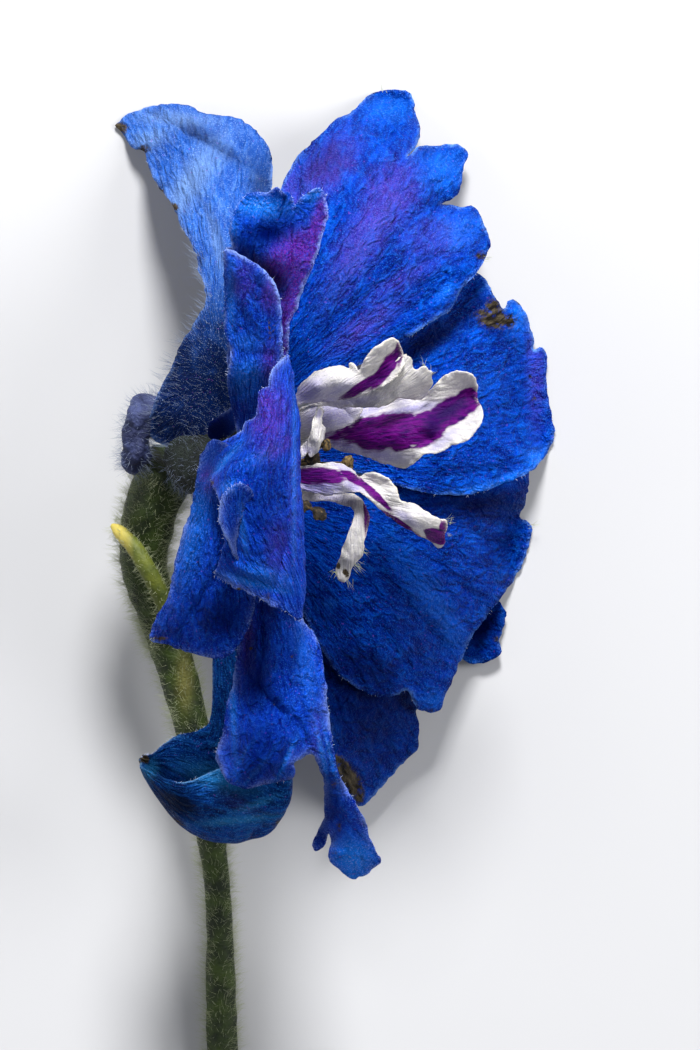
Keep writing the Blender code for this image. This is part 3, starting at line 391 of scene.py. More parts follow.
RIGHT_FINE = [
    (8.2, 20.0), (9.6, 20.4), (10.3, 20.3), (10.9, 19.8), (11.4, 18.8), (11.9, 17.9), (12.3, 17.4),
    (12.7, 18.0),
    (13.1, 18.2), (13.6, 17.8), (14.2, 16.9), (14.5, 16.0), (14.8, 15), (14.8, 14.2), (15.5, 14.3),
    (15.9, 13.5), (15.8, 12), (16, 10), (16.3, 8.5), (16.5, 7.6), (16.2, 6.5), (15.7, 5.5), (15, 4.7),
    (14, 4), (12, 3.2), (10, 2.5), (8, 2.4), (6, 2.6), (4, 3.1), (2, 3.8), (-2, 4.6), (-6, 5.2),
    (-8.0, 5.4), (-8.1, 6.7), (-6, 7.6), (-2, 10.2), (2, 13.4), (5.4, 17.2),
]
RIGHT_FINE_HEIGHTS = [
    (-8.0, 6.1, 14.2), (-5, 6.4, 14.3), (-2, 7, 14.2), (2, 4.2, 12.0), (2, 8, 12.6),
    (2, 12.4, 11.6), (7, 3, 9.4), (7, 8.5, 9.2), (6.5, 15.4, 7.6), (12, 3.5, 5.4),
    (12, 9, 4.6), (10, 16, 5.0), (14.8, 5, 2.6), (16.3, 8, -2.4), (15.6, 13, -1.4),
    (13.6, 17.4, 1.8), (11.4, 18.6, 2.8), (9.6, 19.9, 3.0), (5.6, 17, 6.6),
]
LOWER_FINE = [
    (7.0, -12.5), (6.6, -14.2), (5.3, -14.8), (5.5, -16), (5.5, -17.8), (5.2, -18.3),
    (4.4, -19), (3.3, -20.2), (2, -21.7), (1, -22.6), (0.4, -22.3), (-0.2, -21.5), (-0.8, -20.4),
    (-1.4, -19.2), (-1.6, -17), (-2.0, -14), (-3.4, -10.5), (-5.4, -6.5), (-7.8, -2.6),
    (-10.4, 0.9), (-11.8, 2.4), (-11.2, 3.3), (-9.4, 1.8), (-6.5, -1), (-3, -4),
    (1, -7), (4.5, -9.6),
]
SPURRED_FINE = [
    (-18.9, 32.2), (-17.8, 33.1), (-16, 33.7), (-13.6, 33.9), (-12, 33.2), (-10.5, 32.9),
    (-9, 32.7), (-8, 32), (-7, 31), (-6.4, 30), (-6.2, 28.8), (-6.3, 27), (-6.9, 24),
    (-7.4, 20), (-7.9, 16), (-8.4, 12.5), (-8.8, 10), (-9.4, 7.6), (-11.4, 6.4), (-13.4, 6.0),
    (-15.6, 6.8), (-16.3, 7.8), (-15.9, 9), (-15.1, 11), (-14.3, 12.4), (-13.6, 14.2), (-12.5, 16),
    (-11.6, 17.6), (-11.6, 19), (-12, 20), (-12.3, 21.5), (-13, 23), (-13.7, 24.2),
    (-14, 25.2), (-14.7, 26.3), (-15.3, 27), (-15.9, 28), (-16.3, 29), (-16.5, 30),
    (-17.5, 30.4), (-18.4, 31.6),
]
SPURRED_FINE_HEIGHTS = [
    (-15.6, 8.2, 15.6), (-13, 9, 18.0), (-10.4, 10, 18.8), (-14.3, 12.4, 16.6), (-13.4, 6.4, 16.2),
    (-9.8, 7.6, 19.2), (-16.1, 7.6, 14.9), (-11.5, 13.5, 18.8), (-8.4, 14, 18.0), (-11.6, 18.2, 16.6),
    (-8, 19, 16.4), (-12.6, 22.4, 11.8), (-8, 23, 12.2), (-14.8, 26.4, 6.8), (-10.5, 27, 8.6),
    (-6.4, 27, 7.4), (-12, 31, 5.2), (-7, 31, 4.8), (-12.5, 33.4, 3.0), (-15.8, 33.4, 1.0),
    (-16.4, 30, 2.6), (-18.7, 32.1, -0.9),
]
# The base of the middle petal, near its root.

MIDDLE_BASE = [
    (-3.9, 9.0), (-2.0, 9.55), (0.2, 9.75), (1.0, 9.5), (0.9, 8.9), (0.3, 8.2), (-0.6, 7.7), (-1.9, 7.4),
    (-4.0, 6.8), (-6.6, 5.9), (-6.8, 6.9),
]
MIDDLE_BASE_HEIGHTS = [
    (-6.7, 6.4, 18.0), (-4.0, 8.8, 20.4), (-4.0, 7.0, 19.8), (-1.4, 9.4, 21.4), (-1.4, 8.4, 22.0),
    (0.6, 9.2, 21.2),
    (-1.2, 7.6, 21.4),
]

# The inner petals. Their visible parts are points on an enlarged crop of the photo, and their hidden
# roots are in millimetres.

CROP_SCALE = 3
CROP_LEFT = 70  # pixels of the photo from the crop's left edge to the photo's middle
CROP_TOP = 205  # pixels of the photo from the crop's top edge to the photo's middle
PIXELS_PER_MM = 12.5


def from_crop(points):
    """Crop points as picture millimetres. A third value, the height, stays as it is."""
    made = []
    for x, y, *height in points:
        across = (x / CROP_SCALE - CROP_LEFT) / PIXELS_PER_MM
        up = (CROP_TOP - y / CROP_SCALE) / PIXELS_PER_MM
        made.append((round(across, 2), round(up, 2), *height))
    return made


PETAL_TOP_FINE = from_crop([
    (45, 228), (58, 200), (78, 180), (108, 157), (148, 144), (184, 140), (207, 146), (207, 132),
    (218, 131), (236, 151), (246, 130), (268, 102), (298, 76), (334, 58), (356, 66), (366, 94),
    (372, 118), (368, 142), (350, 172), (312, 199), (268, 220), (222, 236), (170, 243), (104, 250),
    (48, 262),
]) + [
    (-6.4, 8.2), (-8.5, 6.7), (-8.8, 7.5), (-6.6, 9.3),
]
PETAL_TOP_BACK_FINE = from_crop([
    (366, 108), (380, 108), (393, 120), (399, 145), (410, 150), (424, 144), (438, 142), (446, 152),
    (458, 158), (452, 176), (457, 190), (444, 214), (420, 238), (388, 240), (358, 232), (332, 250),
    (300, 262), (266, 262), (228, 264), (180, 264), (120, 262), (60, 268),
]) + [
    (-5.5, 7.1), (-7.9, 6.1), (-8.2, 6.6), (-5.6, 8.1), (-2.4, 10.0), (1.5, 11.6),
]
PETAL_MIDDLE_FINE = from_crop([
    (140, 318), (170, 306), (205, 292), (262, 262), (300, 236), (334, 220), (380, 214), (420, 230),
    (458, 202), (488, 172), (530, 155), (574, 164), (590, 192), (590, 238), (606, 270), (604, 302),
    (588, 332), (560, 364), (520, 375), (472, 400), (430, 405), (402, 430), (370, 445), (332, 436),
    (288, 421), (240, 404), (190, 396),
]) + [
    (-1.9, 6.2), (-4.6, 5.4), (-7.0, 4.8), (-7.1, 5.8), (-4.6, 7.3),
]
PETAL_LOWER_FINE = from_crop([
    (60, 440), (128, 431), (178, 430), (214, 449), (240, 470), (262, 458), (290, 460), (322, 476),
    (346, 502), (364, 545), (400, 550), (438, 576), (478, 596), (500, 606), (497, 640), (490, 676),
    (474, 682), (452, 664), (424, 650), (380, 626), (330, 592), (298, 568), (268, 540), (240, 518),
    (190, 520), (150, 526), (100, 520), (60, 508),
]) + [
    (-6.2, 3.0), (-8.5, 3.7), (-8.4, 4.5), (-6.1, 4.7),
]
PETAL_HANGING_FINE = from_crop([
    (150, 524), (200, 519), (236, 530), (256, 560), (268, 590), (264, 622), (254, 660), (247, 700),
    (217, 740), (206, 768), (194, 784), (175, 775), (170, 740), (184, 700), (200, 650), (214, 612),
    (224, 582), (210, 562), (180, 552), (140, 542),
]) + [
    (-5, 1.9), (-8.0, 2.7), (-7.9, 3.4), (-5, 2.9),
]
STAMINODE_FINE = from_crop([
    (108, 270), (130, 274), (126, 300), (135, 330), (130, 360), (112, 398), (92, 411), (84, 372),
    (94, 332), (104, 300),
]) + [
    (-3.6, 5.5), (-5.2, 5.4), (-8.0, 5.5), (-8.1, 6.0), (-5.4, 6.2), (-3.5, 6.6),
]
PETAL_TOP_FINE_HEIGHTS = from_crop([
    (50, 245, 22.4), (60, 205, 22.9), (110, 195, 24.8), (110, 156, 23.8), (110, 247, 23.2),
    (170, 172, 25.2), (200, 147, 24.4), (165, 240, 23.2), (215, 195, 24.9), (230, 222, 23.9),
    (296, 178, 24.0), (350, 118, 24.2), (262, 135, 25.4), (270, 102, 25.9), (306, 76, 26.1),
    (340, 60, 25.5), (302, 115, 25.1), (366, 140, 25.0), (310, 198, 24.6),
]) + [
    (-8.7, 7.1, 19.4),
]
PETAL_TOP_BACK_FINE_HEIGHTS = from_crop([
    (100, 262, 21.0), (230, 240, 22.4), (300, 256, 23.0), (330, 225, 23.4), (364, 180, 24.0),
    (384, 112, 24.3), (396, 150, 23.9), (380, 190, 23.7), (436, 150, 23.6), (452, 180, 22.9),
    (420, 176, 23.3), (360, 222, 23.5), (440, 216, 22.0), (392, 236, 22.4),
]) + [
    (-8.0, 6.35, 18.4), (-4, 8.4, 20.0),
]
PETAL_MIDDLE_FINE_HEIGHTS = from_crop([
    (150, 330, 20.0), (150, 392, 19.2), (200, 300, 20.0), (200, 330, 20.5), (260, 335, 21.4),
    (262, 264, 20.0), (340, 224, 20.4), (330, 262, 20.2), (350, 335, 22.2), (420, 234, 20.6),
    (400, 260, 20.8), (440, 322, 22.3), (482, 292, 21.3), (536, 246, 20.8), (576, 210, 21.0),
    (530, 160, 22.4), (486, 178, 22.2), (460, 220, 21.6), (588, 190, 21.8), (604, 286, 22.4),
    (556, 352, 22.9), (540, 310, 21.9), (500, 368, 22.6), (440, 398, 22.4), (450, 360, 21.6),
    (378, 438, 21.0), (320, 428, 20.4), (310, 395, 21.1), (240, 392, 20.2),
]) + [
    (-7.0, 5.2, 17.2), (-4.6, 6.2, 18.4),
]
PETAL_LOWER_FINE_HEIGHTS = from_crop([
    (60, 475, 21.2), (100, 440, 21.8), (100, 515, 21.8), (130, 472, 22.7), (200, 492, 23.0),
    (195, 450, 22.1), (200, 520, 22.5), (240, 475, 21.3), (288, 463, 22.3), (300, 500, 21.6),
    (334, 520, 22.3), (272, 530, 22.8), (352, 556, 21.8), (330, 588, 21.5), (392, 588, 22.7),
    (402, 556, 22.0), (428, 646, 21.0), (482, 602, 21.5), (494, 640, 20.6), (474, 676, 19.8),
    (446, 620, 21.9),
]) + [
    (-8.6, 4.1, 19.5), (-6.4, 3.9, 21.0),
]
PETAL_HANGING_FINE_HEIGHTS = from_crop([
    (150, 534, 19.7), (210, 540, 20.0), (240, 596, 20.9), (264, 600, 20.3), (228, 650, 20.9),
    (206, 720, 20.4), (184, 772, 19.3), (222, 732, 19.9), (178, 722, 19.8),
]) + [
    (-7.9, 3.1, 18.2), (-5, 2.4, 18.8),
]
STAMINODE_FINE_HEIGHTS = from_crop([
    (118, 274, 22.6), (118, 320, 23.0), (108, 360, 23.2), (132, 340, 22.5), (92, 405, 22.5),
    (88, 375, 22.5),
]) + [
    (-8.1, 5.75, 19.9), (-5.2, 5.8, 22.0),
]


def fray(edge, amount, seed):
    """Pushes the margin in and out a little, as a torn or frilled edge is."""
    ahead = np.roll(edge, -1, axis=0) - np.roll(edge, 1, axis=0)
    out = np.column_stack([ahead[:, 1], -ahead[:, 0]])
    out /= np.linalg.norm(out, axis=1)[:, None] + 1e-9
    push = [
        noise.noise(Vector((x * 1.9, y * 1.9, seed)))
        + 0.6 * noise.noise(Vector((x * 4.5, y * 4.5, seed)))
        for x, y in edge
    ]
    return edge + out * (amount * np.array(push))[:, None]


def swells(points, scale_u, scale_v, seed):
    """Smooth random ups and downs over flat points, from about -1 to 1."""
    return np.array([noise.noise(Vector((u * scale_u, v * scale_v, seed))) for u, v in points])


def from_mark(xy, x, y, turn):
    """Distances from a mark's middle, along its turned length and across it."""
    c, s = math.cos(math.radians(turn)), math.sin(math.radians(turn))
    dx, dy = xy[:, 0] - x, xy[:, 1] - y
    return dx * c + dy * s, dy * c - dx * s


def spots_mask(xy, spots, most=1.0):
    """How strongly the spots cover each point: (x, y, half width, half height, turn, strength)."""
    mask = np.zeros(len(xy))
    for x, y, wide, high, turn, strength in spots:
        along, across = from_mark(xy, x, y, turn)
        reach = (along / wide) ** 2 + (across / high) ** 2
        mask = np.maximum(mask, strength * np.exp(-(reach**1.3)))
    return np.clip(mask, 0, most)


def raised(xy, marks):
    """Height added by bumps and grooves: (x, y, half width, half height, turn, height)."""
    height = np.zeros(len(xy))
    for x, y, wide, high, turn, amount in marks:
        along, across = from_mark(xy, x, y, turn)
        height += amount * np.exp(-((along / wide) ** 2) - (across / high) ** 2)
    return height


def edge_distance(xy, edge):
    """Distance from each point to the nearest stretch of the outline."""
    best = np.full(len(xy), 1e9)
    following = np.roll(edge, -1, axis=0)
    for start in range(0, len(xy), 4000):
        part = xy[start:start + 4000]
        side = following - edge
        size = (side**2).sum(axis=1) + 1e-12
        reach = ((part[:, None] - edge) * side).sum(axis=2) / size
        near = edge + np.clip(reach, 0, 1)[..., None] * side
        best[start:start + 4000] = np.sqrt(((part[:, None] - near) ** 2).sum(axis=2)).min(axis=1)
    return best


def fine_sheet(outline, heights, root, wave=0.0, seed=1.0, folds=0.2, net=0.09,
               frill=0.12, step=None, ruffle=0.0, relief=()):
    """The blade over an outline in full detail: points, faces, flow, margin distance."""
    step = step or FINE
    edge = fine_outline(outline, step)
    edge = fray(edge, frill, seed)
    low, high = edge.min(axis=0), edge.max(axis=0)
    rows = []
    for row in range(int((high[1] - low[1]) / (step * ROW_STEP)) + 1):
        start = low[0] + (step / 2 if row % 2 else 0.0)
        rows += [(x, low[1] + row * step * ROW_STEP) for x in np.arange(start, high[0], step)]
    grid = np.array(rows)
    grid = grid[inside_outline(grid, edge)]
    grid = grid[edge_distance(grid, edge) > 0.55 * step]
    every = [Vector(p) for p in np.concatenate([edge, grid])]
    ring = list(range(len(edge)))
    sides = [(i, (i + 1) % len(edge)) for i in ring]
    verts, _, faces, _, _, _ = delaunay_2d_cdt(every, sides, [ring], 1, 1e-6)
    xy = np.array([tuple(v) for v in verts])
    gap = edge_distance(xy, edge)
    z = thin_plate(heights)(xy[:, 0], xy[:, 1])
    if wave:
        swell = [noise.noise(Vector((px * 0.42, py * 0.42, seed))) for px, py in xy]
        z = z + wave * np.array(swell) * np.exp(-gap / 2.2)
    offset = xy - np.array(root)
    radius = np.hypot(offset[:, 0], offset[:, 1])
    turn = np.arctan2(offset[:, 1], offset[:, 0])
    turn = np.unwrap(np.array([turn, turn]), axis=0)[0]
    middle = math.atan2(*(np.mean(xy, axis=0) - np.array(root))[::-1])
    turn = (turn - middle + math.pi) % (2 * math.pi) - math.pi
    flow = np.column_stack([turn * FLOW_WIDTH, radius])
    ramp = np.clip(radius / 9.0, 0.15, 1.0)
    z = z + folds * ramp * swells(flow, 0.55, 0.09, seed)
    z = z + net * ramp * (swells(flow, 1.5, 0.55, seed + 3) + 0.6 * swells(flow, 3.2, 1.5, seed + 5))
    if ruffle:
        z = z + ruffle * swells(xy, 1.5, 1.5, seed + 7) * np.exp(-gap / 0.55)
    z = np.maximum(z + raised(xy, relief), LOWEST)
    points = np.column_stack([xy, z])
    return points, np.array([tuple(f) for f in faces]), flow, gap


def fine_patch(rows, along, across, net=0.08, seed=1.0, frill=0.0, relief=()):
    """A smooth blade through rows of points, in full detail."""
    points, faces = patch(rows, along, across)
    share = np.arange(len(points))
    v = (share // across) / (along - 1)
    w = (share % across) / (across - 1)
    grid = points.reshape(along, across, 3)
    run = np.linalg.norm(np.diff(grid, axis=0), axis=2)
    length = np.concatenate([np.zeros((1, across)), np.cumsum(run, axis=0)]).reshape(-1)
    width = np.linalg.norm(np.diff(grid, axis=1), axis=2).sum(axis=1)
    flow = np.column_stack([(w - 0.5) * np.median(width), length])
    to_side = np.minimum(w, 1 - w) * np.repeat(width, across)
    to_tip = (1 - v) * length.max()
    gap = np.minimum(to_side, to_tip)
    normals = vertex_normals(points, faces)
    push = net * (swells(flow, 1.4, 0.5, seed) + 0.6 * swells(flow, 3.0, 1.4, seed + 2))
    push += 2.2 * net * swells(flow, 0.5, 0.1, seed + 4)
    points = points + normals * push[:, None]
    points[:, 2] += raised(points[:, :2], relief)
    if frill:
        sway = swells(points[:, :2], 1.7, 1.7, seed) + 0.7 * swells(points[:, :2], 4.0, 4.0, seed)
        points[:, 1] += frill * sway * np.exp(-gap / 0.9)
        points[:, 0] += frill * 0.5 * sway * np.exp(-gap / 0.9)
    return points, faces, flow, gap


def vertex_normals(points, faces):
    """The direction straight out of the surface at each point."""
    corner = points[faces]
    across = np.cross(corner[:, 1] - corner[:, 0], corner[:, 2] - corner[:, 0])
    normals = np.zeros_like(points)
    for k in range(3):
        np.add.at(normals, faces[:, k], across)
    return normals / (np.linalg.norm(normals, axis=1)[:, None] + 1e-12)


def closed_blade(points, faces, gap, middle=0.42, margin=0.14):
    """Both faces of a blade that thins towards its margin."""
    normals = vertex_normals(points, faces)
    if np.mean(normals[:, 2]) < 0:
        faces, normals = faces[:, ::-1], -normals
    half = (margin + (middle - margin) * (1 - np.exp(-gap / 1.1)))[:, None] / 2
    count = len(points)
    both = np.concatenate([points + normals * half, points - normals * half])
    ends = np.concatenate([faces[:, [0, 1]], faces[:, [1, 2]], faces[:, [2, 0]]])
    keys = ends[:, 0].astype(np.int64) * count + ends[:, 1]
    back = ends[:, 1].astype(np.int64) * count + ends[:, 0]
    rim = ends[~np.isin(back, keys)]
    a, b = rim[:, 0], rim[:, 1]
    sides = np.concatenate([
        np.column_stack([b, a, a + count]), np.column_stack([b, a + count, b + count]),
    ])
    return both, np.concatenate([faces, faces[:, ::-1] + count, sides])


def add_piece(name, parts, material, nodes):
    """One object from parts of (points, faces, flow, look), in millimetres."""
    points, faces, flows, looks, start = [], [], [], [], 0
    for part_points, part_faces, part_flow, part_look in parts:
        points.append(part_points)
        faces.append(part_faces + start)
        flows.append(part_flow)
        looks.append(part_look)
        start += len(part_points)
    points, faces = np.concatenate(points), np.concatenate(faces)
    flows, looks = np.concatenate(flows), np.concatenate(looks)
    points = (points - MIDDLE) * MM
    points[:, 2] = np.maximum(points[:, 2], 0.0)
    mesh = bpy.data.meshes.new(name)
    mesh.vertices.add(len(points))
    mesh.vertices.foreach_set("co", points.astype(np.float32).ravel())
    mesh.loops.add(len(faces) * 3)
    mesh.loops.foreach_set("vertex_index", faces.astype(np.int32).ravel())
    mesh.polygons.add(len(faces))
    mesh.polygons.foreach_set("loop_start", np.arange(0, len(faces) * 3, 3, dtype=np.int32))
    mesh.polygons.foreach_set("use_smooth", np.ones(len(faces), bool))
    uv = mesh.uv_layers.new(name="flow")
    uv.data.foreach_set("uv", flows[faces.ravel()].astype(np.float32).ravel())
    look = mesh.color_attributes.new("look", "FLOAT_COLOR", "POINT")
    look.data.foreach_set("color", looks[:, :4].astype(np.float32).ravel())
    shade = mesh.attributes.new("shade", "FLOAT", "POINT")
    shade.data.foreach_set("value", looks[:, 4].astype(np.float32))
    mesh.update()
    mesh.validate()
    mesh.materials.append(material)
    obj = bpy.data.objects.new(name, mesh)
    bpy.context.scene.collection.objects.link(obj)
    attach(obj, "root")
    if nodes:
        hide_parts(*nodes)


def looks_of(xy, gap, tint=(), brown=(), light=(), dark=(), rim=0.1):
    """The colour masks of a blade: margin, tint, brown, light and dark. On the sepals light is a painted
    highlight, on the petals it is their lavender flush; dark is painted shade, kept in the shade attribute.
    """
    edge = np.exp(-gap / rim)
    patches = swells(xy, 2.6, 2.6, 9.0)
    burn = spots_mask(xy, brown) * (1.0 + 0.9 * patches)
    tinted = spots_mask(xy, tint, 2.0) * (1.0 + 0.5 * swells(xy, 1.1, 1.1, 4.0))
    return np.column_stack([
        edge, np.clip(tinted, 0, 1), np.clip(burn, 0, 1), spots_mask(xy, light),
        spots_mask(xy, dark),
    ])


def blade_part(surface, tint=(), brown=(), light=(), dark=(), rim=0.1, middle=0.42, margin=0.12):
    """A blade of full thickness with its masks, from a surface."""
    points, faces, flow, gap = surface
    look = looks_of(points[:, :2], gap, tint, brown, light, dark, rim)
    both, all_faces = closed_blade(points, faces, gap, middle, margin)
    return both, all_faces, np.concatenate([flow, flow]), np.concatenate([look, look])


def margin_ways(surface):
    """Points on the blade's rim, and the direction away from the blade at each."""
    points, faces, _, gap = surface
    total, count = np.zeros_like(points), np.zeros(len(points))
    for k in range(3):
        for j in (1, 2):
            np.add.at(total, faces[:, k], points[faces[:, (k + j) % 3]])
            np.add.at(count, faces[:, k], 1)
    away = points - total / np.maximum(count, 1)[:, None]
    rim = gap < 1e-4
    away = away[rim] / (np.linalg.norm(away[rim], axis=1)[:, None] + 1e-9)
    return points[rim], away


# Materials.


def add_node(tree, kind, inputs=None, **settings):
    node = tree.nodes.new(kind)
    for key, value in settings.items():
        setattr(node, key, value)
    for key, value in (inputs or {}).items():
        if isinstance(value, bpy.types.NodeSocket):
            tree.links.new(value, node.inputs[key])
        else:
            node.inputs[key].default_value = value
    return node


def mixed(tree, share, a, b):
    """Colour a, turning into b where the share is high."""
    inputs = {0: share, 6: a, 7: b}
    node = add_node(tree, "ShaderNodeMix", inputs, data_type="RGBA", clamp_factor=True)
    return node.outputs[2]


def scaled(tree, operation, a, b, clamp=False):
    """Two values added or multiplied."""
    node = add_node(tree, "ShaderNodeMath", {0: a, 1: b}, operation=operation, use_clamp=clamp)
    return node.outputs[0]


def ranged(tree, value, low, high, start=0.0, end=1.0):
    """The value moved from the span low to high onto the span start to end."""
    node = add_node(tree, "ShaderNodeMapRange", {0: value, 1: low, 2: high, 3: start, 4: end})
    return node.outputs[0]


def base_shader(name, roughness, specular, gloss=(1, 1, 1, 1)):
    material = bpy.data.materials.new(name)
    material.use_nodes = True
    tree = material.node_tree
    shader = tree.nodes["Principled BSDF"]
    shader.inputs["Roughness"].default_value = roughness
    shader.inputs["Specular IOR Level"].default_value = specular
    shader.inputs["Specular Tint"].default_value = gloss
    return material, tree, shader


def stretched(tree, source, scale):
    node = add_node(tree, "ShaderNodeMapping", {"Vector": source, "Scale": scale})
    return node.outputs["Vector"]


def noise_at(tree, place, scale, detail, **more):
    inputs = {"Vector": place, "Scale": scale, "Detail": detail, **more}
    return add_node(tree, "ShaderNodeTexNoise", inputs).outputs["Fac"]


def petal_material(name, deep, middle, lift, tint, rim, brown, light, roughness=0.5,
                   relief=0.00046, specular=0.045, crisp=False, dark=(0.0, 0.003, 0.07, 1),
                   painted_sparkle=(0.06, 0.30, 1.0, 1), pink=(0.30, 0.08, 0.55, 1),
                   crumple=2.0, cover=0.2, veins=0.7):
    """Petal skin: radiating veins, a crumpled net, fine grain, and the marks of its masks, painted
    highlights, glints and shade among them.
    """
    gloss = (1, 1, 1, 1) if crisp else (0.12, 0.40, 1.0, 1)
    material, tree, shader = base_shader(name, roughness, specular, gloss)
    flow = add_node(tree, "ShaderNodeUVMap", uv_map="flow").outputs["UV"]
    where = add_node(tree, "ShaderNodeTexCoord").outputs["Object"]
    masks = add_node(tree, "ShaderNodeAttribute", attribute_name="look")
    split = add_node(tree, "ShaderNodeSeparateColor", {"Color": masks.outputs["Color"]})
    edge, purple, burnt = split.outputs[0], split.outputs[1], split.outputs[2]
    flush_and_highlight = masks.outputs["Alpha"]
    warp = add_node(
        tree, "ShaderNodeTexNoise",
        {"Vector": stretched(tree, flow, (0.8, 0.5, 1.0)), "Scale": 1.0, "Detail": 2.0},
    )
    bent = add_node(tree, "ShaderNodeMix", data_type="VECTOR")
    bent.inputs[0].default_value = 0.18
    tree.links.new(flow, bent.inputs[4])
    tree.links.new(warp.outputs["Color"], bent.inputs[5])
    bent = bent.outputs[1]
    streak = noise_at(tree, stretched(tree, bent, (3.4, 0.75, 1.0)), 1.0, 3.0, Roughness=0.6)
    thread = noise_at(tree, stretched(tree, bent, (8.0, 1.3, 1.0)), 1.0, 2.0)
    wrinkle = noise_at(
        tree, stretched(tree, bent, (2.2, 1.1, 1.0)), 1.0, 2.5, Roughness=0.5, Distortion=1.1,
    )
    net = add_node(
        tree, "ShaderNodeTexVoronoi",
        {"Vector": stretched(tree, bent, (3.4, 1.0, 1.0)), "Scale": 1.0},
        feature="DISTANCE_TO_EDGE",
    ).outputs["Distance"]
    net = ranged(tree, net, 0.0, 0.28)
    grain = noise_at(tree, stretched(tree, where, PER_MM), 6.5, 3.0, Roughness=0.75)
    broad = noise_at(tree, stretched(tree, where, PER_MM), 0.35, 2.0)
    # The skin's own tone from its veins, grain and broad patches, with painted light and shade along the
    # relief: threads and wrinkles lighter on their crests and darker in their troughs, the net darker in
    # its grooves, by the same noises that make the bump.
    stripes = ranged(tree, streak, 0.34, 0.68)
    share = scaled(tree, "ADD", stripes, ranged(tree, broad, 0.3, 0.7, -0.3, 0.3))
    colour = mixed(tree, share, deep, middle)
    colour = mixed(tree, ranged(tree, grain, 0.52, 0.70, 0.0, 0.75), colour, lift)
    colour = mixed(tree, ranged(tree, net, 0.0, 1.0, 0.28, 0.0), colour, deep)
    colour = mixed(tree, ranged(tree, thread, 0.56, 0.72, 0.0, 0.25), colour, lift)
    colour = mixed(tree, ranged(tree, thread, 0.30, 0.44, 0.3, 0.0), colour, deep)
    if not crisp:
        colour = mixed(tree, ranged(tree, wrinkle, 0.52, 0.74, 0.0, 0.28), colour, lift)
        colour = mixed(tree, ranged(tree, wrinkle, 0.30, 0.48, 0.5, 0.0), colour, deep)
    # The light mask: a painted highlight on the sepals, the lavender flush on the petals.
    colour = mixed(tree, scaled(tree, "MULTIPLY", flush_and_highlight, 0.9), colour, light)
    # Painted glints: grainy specks of the margin colour inside the light mask.
    painted_glint = scaled(tree, "MULTIPLY", flush_and_highlight, ranged(tree, grain, 0.54, 0.68))
    colour = mixed(tree, scaled(tree, "MULTIPLY", painted_glint, 0.8), colour, rim)
    specks_and_sparkle = noise_at(tree, stretched(tree, where, PER_MM), 11.0, 1.0)
    if crisp:
        ragged = scaled(tree, "ADD", scaled(tree, "MULTIPLY", streak, 1.1), -0.55)
        violet = ranged(tree, scaled(tree, "ADD", purple, ragged), 0.22, 0.5)
        deeper = ranged(tree, thread, 0.30, 0.58)
        # The stripe's own violet: the dark colour where the threads are low, the tint elsewhere.
        colour = mixed(tree, violet, colour, mixed(tree, deeper, dark, tint))
        shader.inputs["Subsurface Weight"].default_value = 0.12
        shader.inputs["Subsurface Radius"].default_value = (1.0, 0.85, 0.95)
        shader.inputs["Subsurface Scale"].default_value = 0.0003
    else:
        # Speckled tint: the sepal's own purple, except on the pale skin, where the navy tint paints shade.
        speckled = ranged(tree, scaled(tree, "ADD", specks_and_sparkle, grain), 0.85, 1.2, cover, 1.0)
        violet = scaled(tree, "MULTIPLY", purple, speckled, True)
        colour = mixed(tree, violet, colour, tint)
        # Painted sparkle: fine pale specks that stand in for glints off the skin.
        colour = mixed(tree, ranged(tree, specks_and_sparkle, 0.62, 0.74, 0.0, 0.5), colour, painted_sparkle)
        fleck = noise_at(tree, stretched(tree, where, PER_MM), 4.2, 1.0)
        colour = mixed(tree, ranged(tree, fleck, 0.70, 0.78, 0.0, 0.35), colour, pink)
    # The pale margin: the thin edge's own paler, frayed tissue, with a painted highlight along it.
    patchy = ranged(tree, scaled(tree, "ADD", broad, grain), 0.92, 1.18, 0.0, 1.0)
    colour = mixed(tree, scaled(tree, "MULTIPLY", edge, patchy), colour, rim)
    # Painted shade: the colour turns to the dark colour where the shade mask is high.
    shade = add_node(tree, "ShaderNodeAttribute", attribute_name="shade").outputs["Fac"]
    colour = mixed(tree, shade, colour, dark)
    specks = scaled(tree, "MULTIPLY", scaled(tree, "ADD", grain, -0.5), 1.3)
    charred = ranged(tree, scaled(tree, "ADD", burnt, specks), 0.28, 0.62)
    charred = scaled(tree, "MULTIPLY", charred, ranged(tree, burnt, 0.04, 0.25), True)
    char = mixed(tree, ranged(tree, thread, 0.40, 0.70), brown, (0.12, 0.095, 0.055, 1))
    colour = mixed(tree, charred, colour, char)
    tree.links.new(colour, shader.inputs["Base Color"])
    height = scaled(tree, "MULTIPLY", streak, veins)
    wrinkles = 0.2 if crisp else crumple
    for layer, share in ((net, 0.25), (thread, 0.25), (wrinkle, wrinkles), (grain, 0.45)):
        height = scaled(tree, "ADD", height, scaled(tree, "MULTIPLY", layer, share))
    bump = add_node(tree, "ShaderNodeBump", {"Height": height, "Strength": 1.0, "Distance": relief})
    tree.links.new(bump.outputs["Normal"], shader.inputs["Normal"])
    rough = ranged(tree, grain, 0.3, 0.7, roughness + 0.12, roughness - 0.14)
    tree.links.new(rough, shader.inputs["Roughness"])
    return material


